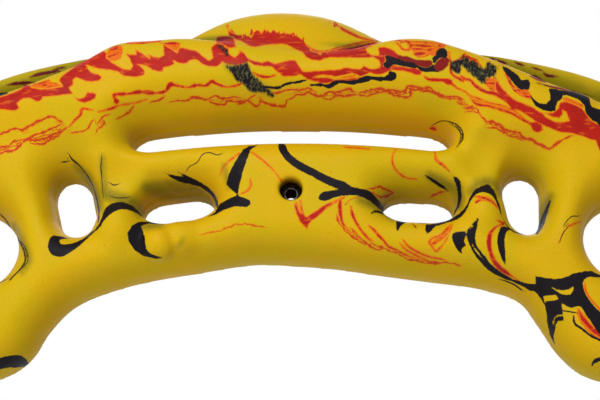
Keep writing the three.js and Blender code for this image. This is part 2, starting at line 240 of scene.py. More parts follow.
def cast_form(x, y, z):
    """Distance to the casting's surface, negative inside it. x and z span a grid, y its depth."""
    lip_slope = np.interp(x, lip[:, 0], np.gradient(lip[:, 1], lip[:, 0]))
    under_lip = (lip_height(x) - z) / np.hypot(1, lip_slope)
    deep_from, deep_to = placed(0, 0.63)[1], placed(0, 0.78)[1]
    depth = lower_depth + (rail_depth - lower_depth) * smooth_step(z, deep_from, deep_to)
    holes = [hole.astype(np.float32) for hole in around_holes(x, z + y * hole_rise)]

    # The bars with their lip, and the flange that lies against the wall behind them.
    front = rounded([front_share(*share) for share in outline_shares], closed=True)
    inside = inside_of(front, x, z)
    for hole in holes:
        inside = soft_min(inside, hole * (body_roll / hole_roll), 20)
    body = rolled_plate(inside, y, body_roll, body_wall, depth)
    rail = rolled_plate(under_lip, y, lip_roll, depth - lip_short, depth + lip_past)
    behind = inside_of(rounded(outline_shares, closed=True), x, z)
    flange = rolled_plate(behind, y, flange_roll, flange_wall, flange_depth)
    form = np.minimum(soft_max(body, rail, 8), flange)

    # The finger groove, then the crown, scoops and knuckles, and the holes through all of them.
    past_end = np.maximum(np.abs(x) - groove_half_length, 0)
    groove = ball(past_end, y + groove_out, under_lip + groove_over_lip, groove_radius)
    form = soft_max(form, -groove, 8)
    form = soft_min(form, ellipsoid(*from_middle(x, y, z, crown_share, crown_out), crown_radii), 20)
    for share in scoop_shares:
        form = soft_max(form, -ball(*from_middle(x, y, z, share, scoop_out), scoop_radius), 10)
    for share in knuckle_shares:
        knuckle = ellipsoid(*from_middle(x, y, z, share, knuckle_out), knuckle_radii)
        form = soft_min(form, knuckle, 7)
    for hole in holes:
        form = soft_max(form, -hole, 5)

    form = soft_min(form, ball(*from_middle(x, y, z, tail_share, tail_out), tail_radius), 12)
    form = soft_min(form, ball(*from_middle(x, y, z, nodule_share, nodule_out), nodule_radius), 3)
    # The rims of the counterbores are rubbed round.
    for share in bolt_shares.values():
        rim = np.maximum(from_bolt(x, z, share) - counterbore / 2, y + rim_out)
        form = soft_max(form, -rim, rim_round)
    return form


# Resin casting: its mesh
# The surface is laid over a grid that is bent down at both ends like the beam itself. Every cell
# that it passes through gets a corner, and every grid edge that it crosses gets a four-sided face.
grid_cell = 1.62
grid_drop = 80.0
grid_low = np.array([-half_width - 4, -rail_depth - 6, -100.0])
grid_high = np.array([half_width + 4, 2 * grid_cell, 222.0])


def drop_at(x):
    return grid_drop * (x / half_width) ** 2


def net_of(field):
    """Corners, in cells of the grid, and four-sided faces of the surface where field is zero."""
    cells = tuple(n - 1 for n in field.shape)
    total, crossings = np.zeros(cells + (3,), np.float32), np.zeros(cells, np.float32)
    crossed_edges = []
    for axis in range(3):
        others = [a for a in range(3) if a != axis]
        start = np.take(field, range(cells[axis]), axis)
        end = np.take(field, range(1, cells[axis] + 1), axis)
        crossed = (start < 0) != (end < 0)
        share = np.where(crossed, start / np.where(crossed, start - end, 1), 0)
        crossed_edges.append((axis, others, crossed, start < 0))
        for m in (0, 1):
            for n in (0, 1):
                cut = [slice(None)] * 3
                cut[others[0]] = slice(m, m + cells[others[0]])
                cut[others[1]] = slice(n, n + cells[others[1]])
                total[..., axis] += share[tuple(cut)]
                total[..., others[0]] += m * crossed[tuple(cut)]
                total[..., others[1]] += n * crossed[tuple(cut)]
                crossings += crossed[tuple(cut)]
    used = np.nonzero(crossings)
    corners = np.stack(used, 1) + total[used] / crossings[used][:, None]
    number = np.full(cells, -1, np.int64)
    number[used] = np.arange(len(corners))

    faces = []
    for axis, others, crossed, from_inside in crossed_edges:
        at = np.stack(np.nonzero(crossed), 1)
        step = np.eye(3, dtype=int)
        u, v = (step[(axis + 1) % 3], step[(axis + 2) % 3])
        ring = np.stack([number[tuple((at - back).T)] for back in (0 * u, u, u + v, v)], 1)
        outwards = from_inside[tuple(at.T)]
        faces.append(np.where(outwards[:, None], ring, ring[:, ::-1]))
    return corners, np.concatenate(faces)


axes = [np.arange(low, high + grid_cell, grid_cell) for low, high in zip(grid_low, grid_high)]
axes[1] -= axes[1][np.argmin(np.abs(axes[1]))]
grid_low[1] = axes[1][0]
grid_x = axes[0][:, None, None].astype(np.float32)
grid_y = axes[1][None, :, None].astype(np.float32)
grid_z = axes[2][None, None, :] - drop_at(grid_x)
field = np.maximum(cast_form(grid_x, grid_y, grid_z), grid_y).astype(np.float32)
corners, faces = net_of(field)
corners = grid_low + corners * grid_cell
corners[:, 2] -= drop_at(corners[:, 0])


def mesh_object(name, points, sides):
    mesh = bpy.data.meshes.new(name)
    mesh.from_pydata(points, [], sides)
    mesh.update()
    made = bpy.data.objects.new(name, mesh)
    bpy.context.scene.collection.objects.link(made)
    return made


cast = mesh_object("resin_beam", corners / 1000, faces)


# The bolt holes are drilled afterwards: an 11 mm bore from the back and a 21 mm counterbore from
# the front, with sharp edges inside.
def turned(profile, segments, share):
    """Closed solid turned about a bolt's axis, from (radius, distance from the wall) points."""
    centre_x, centre_z = placed(*share)
    points, rings, sides = [], [], []
    for radius, out in profile:
        turns = segments if radius else 1
        rings.append([len(points) + n for n in range(turns)])
        for n in range(turns):
            angle = 2 * math.pi * n / segments
            place = (centre_x + radius * math.cos(angle), -out, centre_z + radius * math.sin(angle))
            points.append([c / 1000 for c in place])
    for near, far in zip(rings, rings[1:] + rings[:1]):
        for n in range(segments):
            pair = [near[n % len(near)], near[(n + 1) % len(near)]]
            side = list(dict.fromkeys(pair + [far[(n + 1) % len(far)], far[n % len(far)]]))
            if len(side) > 2:
                sides.append(side)
    return points, sides


drill_back, drill_front, drill_segments = -5, 80, 72
drill = [
    (0, drill_back), (bolt_bore / 2, drill_back), (bolt_bore / 2, seat_thickness),
    (counterbore / 2, seat_thickness), (counterbore / 2, drill_front), (0, drill_front),
]
for place_name, share in bolt_shares.items():
    bit = mesh_object("drill_" + place_name, *turned(drill, drill_segments, share))
    cut = cast.modifiers.new("drill", "BOOLEAN")
    cut.operation, cut.solver, cut.object = "DIFFERENCE", "EXACT", bit
    cast.data = bpy.data.meshes.new_from_object(
        cast.evaluated_get(bpy.context.evaluated_depsgraph_get())
    )
    cast.modifiers.clear()
    bpy.data.objects.remove(bit)

# Drilling can leave hair-thin slits where a bore meets the flat back.
shell = bmesh.new()
shell.from_mesh(cast.data)
bmesh.ops.holes_fill(shell, edges=[edge for edge in shell.edges if edge.is_boundary], sides=4)
shell.to_mesh(cast.data)
shell.free()
cast.data.shade_smooth()
cast.data.set_sharp_from_angle(angle=math.radians(40))
cast.data.name = cast.name

# Resin casting: its pigment
# Red, orange and black pigment was poured and trailed through the yellow resin before it set. A
# pour is an outline of (across, down) points and a trail a rounded line of (across, down, width),
# in pixels of the picture that the camera takes. The lists were laid out.
red_pours = [
    # left end of the rail, up to its first hump
    [(-9, 97), (0, 97), (12, 93), (21, 89), (25, 85), (30, 85), (31, 87.5), (41, 89), (54, 88),
     (63, 86.5), (58.5, 80), (61, 76.5), (67, 72), (75, 66), (81, 62.5), (88, 59), (103, 50.5),
     (107, 53), (106, 58), (113, 63), (118, 66), (123, 69), (130, 70), (133, 66.5), (130, 60),
     (126, 53.5), (131, 54.5), (136, 54.5), (135.5, 49), (143, 54), (150, 59), (148, 54),
     (153, 56.5), (160, 57.5), (164, 55), (163, 43.5), (168, 47), (177.5, 53), (178.5, 48.5),
     (182, 47.5), (190, 49.5), (196, 50.5), (199, 52.5), (203, 56.5), (209, 60.5), (213, 58),
     (211, 50), (212, 46.5), (217, 43), (222, 44), (228, 48.5), (229.5, 54), (234, 57.5),
     (238, 55), (240, 50.5), (244, 53), (248, 58), (254, 61), (262, 62.5), (268, 60.5), (275, 64),
     (280, 62.5), (290, 60), (295, 60), (298, 64), (300, 67), (303, 71), (308, 72), (314, 71),
     (330, 70), (340, 69.5), (347, 67), (351, 68.5), (360, 69), (364, 66), (367, 67.5), (372, 69),
     (378, 68), (384, 66), (391, 67), (392, 64), (398, 66), (408, 67.5), (416, 68), (421, 70),
     (421.5, 73), (420, 75), (415, 75), (410, 72.5), (403, 71), (396, 70.5), (391, 70),
     (388, 71.5), (384, 73.5), (378, 75), (373, 74), (370, 72.5), (365, 75), (360, 76.5),
     (357, 75), (352, 73), (345, 75), (340, 76), (336, 77), (330, 75.5), (322, 75), (316, 76),
     (311, 79), (308, 80), (304, 77), (300, 74.5), (296, 76), (283, 76.5), (280, 74), (275, 70),
     (272, 67), (268, 66.5), (262, 66.5), (254, 65), (248, 61.5), (243, 64), (236, 65.5),
     (228, 64.5), (222, 61.5), (220, 65), (216, 67), (208, 66.5), (202, 64), (198, 60.5),
     (193, 59.5), (189, 61), (186, 64), (179, 63), (173, 60.5), (175.5, 63.5), (172, 65.8),
     (163.5, 67.7), (163, 72), (158, 71.5), (151.5, 69.5), (146.5, 65.8), (137, 64), (144, 69),
     (145, 74), (142, 76), (135, 77.3), (124, 76), (117.5, 71.5), (110, 70), (98, 68.7), (90, 66),
     (86, 65), (89, 70), (92, 73), (98.7, 74.3), (102.3, 77.5), (98.7, 81), (92, 82), (85, 81.3),
     (81, 79), (76.5, 77.5), (73, 80), (73.4, 85), (69, 87.5), (73, 93.7), (65, 94.7), (54, 96),
     (43, 97), (42, 99.8), (38, 102), (34, 100.5), (29, 97.8), (24, 98.3), (20.5, 100.5),
     (17, 103.5), (19.5, 108.5), (14, 111), (0, 109.2), (-9, 109.5)],
    [(73.5, 96.7), (79, 99), (84, 97.5), (87, 92), (96.5, 93.5), (95.5, 98), (91, 101), (84, 103),
     (78, 101)],
    # crown
    [(226.5, 24), (229.5, 31), (233, 33), (240, 35.5), (250, 36), (250, 30), (257, 31.5),
     (263, 31), (275, 31), (280, 30.5), (286, 33.5), (296, 35.5), (303, 37.5), (305.5, 40),
     (307, 44), (310, 50), (315, 53), (320, 53.5), (330, 51), (340, 48), (350, 47), (360, 45),
     (368, 43), (377, 41.5), (379, 43), (372, 46), (366, 48.5), (367, 52), (371, 55), (379, 55.5),
     (378, 47.5), (384, 46.5), (390, 48.5), (395, 51.5), (400, 56), (405, 59), (410, 60),
     (418, 62), (424, 66), (416, 66), (404, 62), (392, 58), (385, 55.5), (386, 61.5), (383, 63.5),
     (384, 68), (378, 69), (380, 65), (379, 60.5), (375, 58), (372, 56.8), (366, 58), (358, 58),
     (350, 57.5), (340, 57.5), (330, 57.5), (325, 58.5), (320, 61), (312, 60), (306, 57),
     (303, 53), (298, 50.5), (293, 48), (288, 45.5), (283, 44), (270, 44.5), (262, 45.5),
     (256, 47), (250, 46.5), (246, 44), (240, 41), (236, 40), (233, 37), (229, 37), (227.5, 30)],
    [(217, 37), (222, 36), (228, 36), (233, 37), (235, 42), (236, 47.5), (228, 48), (222, 44),
     (216, 43)],
    # right end of the rail
    [(496, 78), (499, 84), (502, 88), (507, 93), (511, 97), (517, 101), (525, 104), (532, 107),
     (540, 112), (547, 113), (553, 112.5), (558, 109), (560, 102), (566, 101.5), (575, 104.5),
     (583, 108.5), (586, 114), (592, 121), (600, 125), (609, 128), (609, 141), (603, 138),
     (597, 140.5), (590, 139.5), (583, 136.5), (572, 133.5), (560, 132), (552, 129), (543, 125),
     (535, 121), (528, 116), (520, 111), (512, 108), (507, 101), (500, 97), (495, 88)],
    [(440, 79), (447, 78), (452, 79), (453, 84), (448, 85.5), (443, 82)],
    # round blot under it
    [(531, 122.5), (537, 121.5), (542, 125), (543, 130.5), (538, 133), (533, 131), (530.5, 126.5)],
    # centre bolt's stain
    [(299, 200), (301.5, 199.5), (302.5, 207), (304, 214), (306, 217.3), (311, 214), (317, 210),
     (322, 206.5), (328, 203), (334, 201), (334, 204), (327, 207.5), (322, 213), (317, 217),
     (311, 221.5), (308.5, 224.5), (307.5, 229.5), (303.5, 226), (299.5, 220.5), (296.5, 214),
     (294, 206), (294, 203.5), (297, 204), (298, 209.5), (300.5, 214), (301.5, 212), (300, 206)],
]
orange_pours = [
    [(30, 86), (35, 84), (43, 81), (49, 79), (50.5, 81.5), (57, 83), (63, 86.3), (54, 87.5),
     (43, 88), (34, 87.5)],
    [(76, 67), (84, 66), (88, 70), (90, 73.5), (84, 72), (79, 70)],
    [(106, 53), (111, 47), (121, 45), (123, 49), (121, 59), (112.5, 61.5), (108, 59)],
    [(159, 43.5), (175, 41.5), (181, 43.5), (177.5, 52.5), (168, 47), (162, 44)],
    [(400, 41), (407, 40.5), (430, 41.5), (440, 43), (447, 44.5), (444, 48), (441, 53), (437, 57),
     (430, 55), (424, 58.5), (416, 57), (412, 50.5), (406, 49), (400, 50)],
    [(562, 97.5), (567, 97.3), (576, 101), (584, 105.3), (584, 108.5), (574, 105), (564, 101.5)],
    [(449, 61), (456, 60), (461, 57), (464, 52), (470, 57), (477, 58.5), (482, 67), (478, 66),
     (472, 62), (464, 61), (456, 63)],
    [(484, 83), (487, 78), (492, 78.5), (496, 76), (500, 84), (505, 92), (497, 90), (490, 90)],
    [(514, 84), (520, 89.5), (528, 89.5), (531, 94), (532, 100), (524, 97), (517, 91)],
]
maroon_pours = [
    [(398, 55), (408, 56.5), (416, 59.5), (422, 60), (432, 60), (433, 64), (428, 68), (421, 67),
     (416, 64.5), (404, 61.5), (398, 60)],
    [(431.5, 69), (436, 62), (441, 58), (447, 56.5), (449.5, 60), (448, 66), (444, 70), (438, 72),
     (433, 71.5)],
]
black_pours = [
    # rail
    [(385, 55.5), (390, 56), (398, 58.5), (404, 61), (410, 62), (415, 63), (417, 66), (415, 68.5),
     (409, 67.5), (400, 65.5), (393, 64.5), (391, 67), (388, 69), (384.5, 67), (383, 63.5),
     (386, 61.5)],
    [(416, 64.5), (421, 66.5), (428, 68), (433, 64), (432, 58), (436, 55), (436, 52), (439, 48.5),
     (444, 48), (447, 51), (448, 56), (446, 57.5), (441, 57.5), (438, 59.5), (434.5, 64),
     (434, 68), (437, 70.5), (442, 69.5), (437, 72), (431, 72), (425, 72), (420, 71),
     (416.5, 67.5)],
    [(496, 65.6), (499, 65.2), (507.5, 67.4), (518, 75.2), (521, 79.8), (528.6, 79.4),
     (530.5, 83.7), (529, 89.5), (520.2, 89.5), (514.6, 85), (510.4, 79), (505, 72), (499, 68)],
    [(530, 92), (532.8, 98.5), (539, 103), (546, 104), (550.5, 99.5), (548.6, 88.8), (551.8, 88.5),
     (560, 90), (571, 91.3), (581, 94), (589.5, 97.5), (591, 106.5), (600, 109.5), (609, 113),
     (609, 128), (600, 124), (592, 120.5), (586, 113.2), (584, 104.7), (577.7, 99.1), (567, 95),
     (563, 95.6), (562, 99), (557.4, 101.9), (556, 106), (555.3, 110.5), (551, 111.5),
     (542.6, 110), (535, 105), (531, 98)],
    # blade over the left pocket, and the wing under its point
    [(257.5, 145), (250.5, 150), (247, 160), (242.5, 172.5), (240, 183), (237.6, 195), (232, 190),
     (226, 184), (228.6, 174.3), (233, 165.6), (238, 157), (243, 150), (248, 146.5)],
    [(207.5, 217), (214.5, 213), (219.5, 204), (228, 199), (237.3, 195), (246, 198.5),
     (250.5, 200.5), (251, 204), (246.8, 207), (234, 206.5), (223.5, 210), (215, 215)],
    # arc of the left pocket
    [(163.5, 171.5), (170, 174.3), (179, 176.3), (183, 176.3), (177.5, 171.5), (187, 175.4),
     (197.5, 180.6), (208, 186.8), (215, 194.5), (218.3, 202), (217.2, 210), (215, 201),
     (209.5, 193.4), (201, 187.3), (190, 184), (180, 182), (171.5, 178.3)],
    # round the left knuckle and the nodule
    [(47.8, 247), (48.5, 241), (50.5, 237), (54, 235.3), (60, 236), (66, 237.5), (70, 238.6),
     (64, 238.8), (60.5, 239.3), (59.3, 241.5), (61, 244), (66, 244.5), (71, 243.8), (78, 241.3),
     (84, 238), (90, 233.5), (95, 229.5), (99, 224.5), (101, 219), (103, 212.5), (106, 207.5),
     (110.5, 204), (116, 202.2), (122, 202), (128, 203.3), (133, 206), (137, 209.5), (141, 214),
     (145, 218.5), (139, 214.7), (133, 211.3), (127, 209.6), (120, 209.4), (114, 212),
     (109, 215.5), (105.5, 219.5), (103.5, 221), (101, 226), (94, 232.5), (87, 239), (79.5, 246),
     (72.5, 251), (66, 255.5), (60, 257), (54.5, 256.2), (50, 253)],
    [(165, 224.5), (147, 221.6), (138.5, 221.8), (131.6, 226), (127.4, 233.2), (128.8, 242),
     (135, 250.8), (143.7, 256), (156, 259), (165, 258), (157, 256), (149.3, 253), (146.3, 248.5),
     (144.8, 237), (141, 226), (148, 223.6)],
    # round the right knuckle
    [(425, 230), (426, 224), (431, 224), (437, 222.7), (445, 220.7), (450, 219), (455, 216.5),
     (459, 213.5), (463, 210), (466, 206), (468.5, 201), (470.5, 196), (473, 192.5), (475, 189.5),
     (479, 187.5), (483, 185.5), (487, 184.3), (489.5, 185), (492, 188), (494.5, 190.5),
     (496, 194), (497.5, 199), (499, 205), (500.3, 211), (498.5, 208), (497, 204), (495, 200),
     (493, 196.5), (490, 194), (486, 192.5), (481, 192.3), (477, 193.5), (475, 195.5),
     (472.5, 198), (470, 202), (467.5, 208), (464.5, 213), (461, 217), (457, 219.5), (452, 221.3),
     (443, 224.2), (436, 226), (432, 230), (427, 234.5)],
    [(452.5, 176), (457, 177), (460.5, 181), (461.5, 188), (461.8, 196), (461, 201.5), (459, 207),
     (456, 212), (453, 217), (454.5, 211), (456.8, 206), (457.8, 200), (457.8, 193), (456.8, 187),
     (454.5, 181.5)],
    [(451.5, 236), (453, 233), (456, 232), (462, 231), (466.5, 230), (465, 236), (464, 241),
     (466, 246), (463, 247.5), (461.5, 250), (462.5, 255), (459, 252), (455, 246.5), (452.5, 241)],
    [(480, 214.5), (478.5, 220), (477.5, 226), (476, 231), (475, 237), (476, 243), (478, 248),
     (481, 251.5), (485, 256), (489, 262), (494, 267), (500, 271.5), (507, 276), (514, 279.5),
     (520, 281.5), (527, 283.5), (535, 284.5), (536, 291), (530, 291), (524, 287), (518, 284),
     (512, 281.7), (506, 279.5), (499, 276.5), (493, 273.5), (487, 269), (482, 264), (477, 258),
     (473, 252), (470, 245.5), (467.5, 240), (466.3, 235), (467.5, 229.5), (470, 226), (475, 221)],
    [(499.5, 230), (501, 227.5), (504, 226), (508, 227.5), (511, 229.5), (507.5, 231),
     (505.5, 234), (504.5, 240), (505, 248), (505.5, 258), (506, 266), (503.5, 263), (500.5, 256),
     (498.5, 249), (497.3, 243), (497.5, 237)],
    [(396, 221), (400, 221.5), (406, 222), (401, 226), (398, 231), (396, 231)],
    # from the centre bolt over the right pocket
    [(308, 168), (318, 171), (329, 176), (337, 179.5), (345, 182), (352, 187), (358, 188),
     (366, 189.5), (371, 192), (376, 197), (380, 202), (384, 208), (385, 214), (384, 213.5),
     (377, 207), (370, 201), (364, 198), (358, 195.5), (350, 195), (344, 195.5), (339, 196.3),
     (333, 198), (329, 200), (325, 201), (322, 200.8), (319, 199.5), (318, 198), (319.5, 195),
     (322, 192.3), (326, 191), (332, 190.5), (338, 190), (340, 189.6), (335, 188), (330, 185.8),
     (322, 182), (315, 178.5), (310, 175)],
    # right lobe
    [(529, 284), (536, 284), (535, 276), (540, 276.5), (547, 278), (555, 279), (562, 278),
     (569, 276), (573, 273.5), (580, 272), (585, 271), (592, 271), (596, 273), (600, 275),
     (609, 277), (609, 280), (600, 277.5), (590, 277), (587, 277.5), (584.5, 279.5), (583, 283),
     (583.5, 289), (586, 295), (590, 301), (595, 307), (600, 312), (609, 319), (609, 339),
     (600, 332), (595, 328), (591, 322), (587, 316), (583, 310), (580, 306), (572, 308),
     (566, 306), (562, 303), (562.5, 311), (564, 321), (558, 321), (556, 324), (555, 330),
     (553.5, 336), (555, 345), (551, 338), (548.5, 330), (547, 320), (546, 312), (545, 306),
     (541, 299), (537, 293.5), (530, 289.5)],
    # left lobe
    [(-9, 361.5), (4, 356.5), (14, 355), (22, 355.5), (27, 360), (30, 365.5), (20, 367.5),
     (8, 367.5), (-9, 372)],
]
# Black that was stirred in thinly, so that it stays speckled.
smoke_pours = [
    [(450, 62), (455, 60.5), (460, 60), (462, 57), (464, 54), (467, 57), (470, 60), (475, 60.5),
     (478, 62), (480, 66), (484, 69), (486, 67), (486.5, 63), (488, 62), (491, 63.5), (496, 66),
     (497, 68), (496, 73), (494, 77), (489, 77), (486, 79), (485, 83), (481, 82.5), (478, 80),
     (475, 77), (471, 75), (467, 71), (464, 68), (461.5, 66.5), (461, 70), (460, 73), (455, 73.5),
     (452, 72), (450, 68)],
    [(218, 45), (222, 45), (227, 50), (230, 55), (228, 57), (224, 54), (221, 50)],
    [(225, 66), (231, 66), (236, 65), (242, 64), (247, 61.5), (249, 66), (250, 70), (253, 75),
     (258, 79), (262, 84), (266, 87), (272, 93), (276, 96), (270, 96.5), (266, 93), (262, 92.5),
     (255, 92.5), (250, 91), (246, 87), (240, 82), (236, 79.5), (233, 74), (229, 70)],
]
# Round trails, and ripples: trails that were combed, so that they swell and break off in turn.
red_trails = [
    # past the ends of the picture
    [(-3, 103, 12), (-26, 110, 11), (-48, 124, 9), (-66, 146, 5), (-75, 170, 2)],
    [(604, 134, 13), (626, 142, 13), (650, 158, 10), (668, 182, 6), (676, 204, 2)],
    [(474, 196.5, 1), (480, 197, 2.6), (487, 199, 3), (493, 202.5, 2.6), (498, 208, 1.4)],
    [(497, 220, 1.4), (501, 222, 2), (504, 224, 2.4), (499, 225.5, 2), (493, 229.5, 3),
     (489.5, 236, 5), (489, 244, 5), (490.5, 252, 4.4), (494, 261, 4.6), (500, 268, 5),
     (507, 273, 4), (513, 277, 2), (519, 281, 1)],
    [(579, 310, 2), (581, 316, 4), (586, 322.5, 5), (592, 329, 5), (600, 335, 5), (608, 339, 5)],
    [(598, 138, 5), (600, 146, 5), (602, 152, 3)],
    [(69, 127, 1.5), (75, 120, 2.6), (81, 114, 3.2), (82, 109, 3), (93, 110, 1.5)],
    [(240, 153, 1.4), (233, 158, 1.8), (227, 163, 1.8), (222, 169, 1.8), (220.5, 175, 1)],
    [(251, 152, 1.2), (260, 158, 1.7), (267, 164, 1.8), (275, 172, 1.7), (282, 182, 1)],
    [(250, 178, 1.2), (251, 185, 2), (247, 191, 2.2), (239, 194.5, 1.2)],
    [(396, 149, 1.2), (392, 158, 2), (394, 167, 2.2), (400, 174, 2), (407, 178, 1.8),
     (417, 179, 1)],
    [(344, 147, 0.9), (356, 148, 1.6), (370, 149, 0.9)],
    [(341, 197, 1.5), (340, 203, 4), (340, 210, 4), (341, 217, 3.6), (343, 224, 3),
     (347, 230, 2.4), (352, 235, 1.6)],
    [(351, 206, 2), (352, 213, 3), (355, 220, 3), (359, 227, 3), (364, 234, 2.6), (369, 239, 2.4),
     (373, 241, 1.4)],
    [(369, 226, 1.4), (374, 230, 2.6), (379, 236, 3), (384, 241, 3), (388, 246, 2.8),
     (394, 249, 2.6), (400, 252, 2.4), (408, 256, 2.2), (414, 258, 2), (422, 260, 1.4)],
    [(400, 243, 1.2), (404, 248, 2.2), (411, 253, 2.2), (418, 256, 1.8), (424, 258, 1)],
    [(403, 240, 1.2), (408, 246, 2.4), (414, 250, 2.5), (422, 254, 2.5), (430, 257, 2.4),
     (438, 258.5, 2), (445, 260, 1.2)],
    [(452, 224, 1.5), (447, 229, 2.6), (441, 235, 2.6), (433, 238, 2.4), (429, 242.5, 2.4),
     (432, 246, 2), (436, 252, 1.6), (440, 248, 2), (446, 240, 1.8), (450, 230, 1.2)],
    [(253, 72, 1.4), (260, 76, 3), (268, 77, 3), (276, 75, 1.6)],
    [(310, 79, 2), (318, 80, 5), (327, 80.5, 6), (333, 80, 2)],
    [(334, 80.5, 2), (345, 80, 2.6), (356, 79, 3), (360, 77.5, 1)],
    [(331, 21, 1.6), (339, 27, 3), (349, 32.5, 3.4), (360, 37.5, 2.6), (374, 41, 1.6)],
    # right half of the rail
    [(396, 42, 1.4), (400, 46, 2), (404, 50, 2.4), (410, 49.5, 2.6), (410, 43, 3), (404, 40.5, 2)],
    [(410, 45, 3), (420, 45.5, 3.4), (430, 46.5, 3), (437, 45, 1.4)],
    [(412, 54, 2), (418, 54, 5), (425, 53, 3)],
    [(424, 76, 1.4), (428, 79, 3.4), (436, 80, 4), (445, 80, 3.6)],
    [(449, 52, 2), (450, 60, 2.4), (450.5, 66, 2.6), (451, 72, 3), (454, 76, 3), (458, 78, 3),
     (463, 81, 2.6)],
    [(452, 84, 3), (457, 88, 2.4), (462, 90.5, 2), (466, 92, 1.8), (470, 96, 1.8),
     (476, 97.5, 1.8), (482, 100, 1.8), (490, 103, 1.8), (497, 104.5, 2), (503, 105.5, 1.8),
     (510, 109, 1.8), (515, 111, 1.8), (519, 114, 1.8), (524, 119, 1.8), (530, 122.5, 1.4)],
    [(472, 100, 2), (475, 103, 3), (480, 105, 3.4), (488, 106, 3), (495, 108, 3), (502, 110, 3.2),
     (508, 112, 3), (513, 114, 3), (518, 117, 3), (525, 121, 2.6), (530, 124, 1.6)],
    [(461, 76, 2.4), (465, 79, 3), (470, 80, 3), (474, 84, 3.4), (478, 88, 3.6), (483, 90.5, 4),
     (488, 92.5, 4), (493, 93, 4), (500, 96, 5), (505, 99, 5), (510, 103, 5), (513, 108, 4)],
    [(505, 71, 1.6), (508, 78, 3), (511, 84, 3), (515, 88, 2.4)],
    [(430, 128.5, 2), (433, 128.5, 4.4), (436, 130, 2)],
    [(580, 222, 1.6), (573, 224, 2.2), (566, 229, 1.6), (562, 236, 1.2), (559, 243, 0.7)],
]
red_ripples = [
    # under the left end of the rail
    [(116.5, 101.5, 4), (114, 95, 3.4), (127, 94, 2.6), (139, 92, 3.2), (149, 92.5, 3.4),
     (157, 93, 2), (166, 91, 3), (170, 85, 4), (177, 85.5, 2.6), (188, 87.5, 1.6), (197, 85, 3.2),
     (206, 85.5, 2), (212, 81.5, 4), (216, 83.5, 2.4), (226, 86.8, 1.8), (238, 85, 2),
     (249, 80, 1.4)],
    [(98, 112, 1.2), (110, 109, 2.4), (121, 105, 1.6), (134, 103, 1.6), (147, 99.5, 1.0)],
    [(560, 124.5, 1), (575, 121, 2), (582, 124, 1.4)],
]
orange_trails = [
    [(128, 43, 3), (142, 42, 4), (160, 41, 3)],
    [(302, 44, 3), (320, 52, 3), (341, 47.5, 3), (364, 42, 3), (384, 39, 3), (400, 39.5, 4)],
    [(322, 57.5, 1.4), (333, 55.5, 1.8), (341, 52, 1.8), (346, 51.5, 1.8), (352, 55, 1.8),
     (357, 52.5, 1.8), (363, 54, 1.4)],
    [(336, 78.5, 1), (346, 77, 2), (355, 75.6, 2.4)],
    [(470, 98, 2), (480, 102, 3), (492, 105.5, 3), (504, 108.5, 3), (515, 113.5, 3),
     (526, 120.5, 2)],
    [(486, 82, 1.4), (488, 86, 1.8), (491, 89, 1.8), (496, 92, 1.4)],
    [(509, 80, 2), (513, 88, 2.4), (519, 94, 2.4), (528, 98, 2)],
    [(296.5, 203, 3), (298.5, 211, 4), (302.5, 218, 3)],
    [(345, 205, 1.6), (352, 199, 2), (362, 196, 1.4)],
    [(476, 202, 3), (482, 198.5, 5), (488, 199, 5), (494, 203, 3)],
    [(320, 212, 2), (331, 204, 4), (345, 197, 2)],
    [(435, 152, 2), (436.5, 160, 3.4), (443, 165, 3), (450, 172, 1.4)],
    [(578, 309, 3), (581, 316, 7), (586, 323, 8), (592, 330, 8), (604, 338, 8)],
    [(584.5, 281, 1.6), (585.5, 290, 2.4), (588.5, 296, 2.4), (593, 302, 2.4), (602, 311, 2.4)],
    [(431, 245, 3), (438, 240, 5), (445, 234, 5), (451, 227, 3)],
]
black_trails = [
    # past the ends of the picture
    [(604, 120, 15), (628, 127, 14), (652, 141, 11), (672, 163, 5)],
    [(-4, 366.5, 10), (-24, 372, 9), (-44, 371, 5), (-56, 361, 2)],
    [(604, 276, 7), (624, 284, 9), (644, 300, 7), (654, 318, 2)],
    [(604, 326, 18), (624, 338, 16), (644, 344, 9), (660, 340, 3)],
    # arc beside the centre bolt and over the right pocket
    [(281, 142, 4), (282, 147, 7.5), (285, 153, 7.5), (290, 158.8, 7.8), (297, 164, 8),
     (309, 170.5, 8), (320, 176, 7)],
    [(371, 213.5, 1.4), (376, 211.3, 2.8), (384, 214, 1.6)],
    [(425, 175, 1), (432, 180, 3), (440, 185, 3.4), (449, 191.5, 1)],
    [(537, 233, 3), (541, 225, 5), (545, 214, 4), (550, 201, 1.6)],
    [(574, 315, 1.6), (573.5, 320, 2.5), (576, 325, 2.5), (581, 328, 2.5), (586, 332, 2.5),
     (591, 336, 2.5), (600, 340, 2.5), (608, 344, 2.5)],
    [(591, 367, 1), (595, 361, 4), (606, 358, 3)],
    [(-9, 95, 3), (3, 94, 3), (8, 93, 1)],
]
black_ripples = [
    [(262, 86.5, 1.2), (270, 87.5, 2.4), (279, 87.7, 2.4), (286, 84, 2.2), (298, 82, 2.2),
     (306, 80, 1.6)],
    [(310, 85, 1.4), (322, 85, 2.6), (329, 86.4, 3.8), (335, 83, 3.2), (342, 81.7, 3.2),
     (352, 82.6, 3.2), (361, 80.5, 5), (370, 78, 4), (380, 79, 3.4), (388, 78, 5), (392.5, 76, 6),
     (390, 72.5, 3)],
]
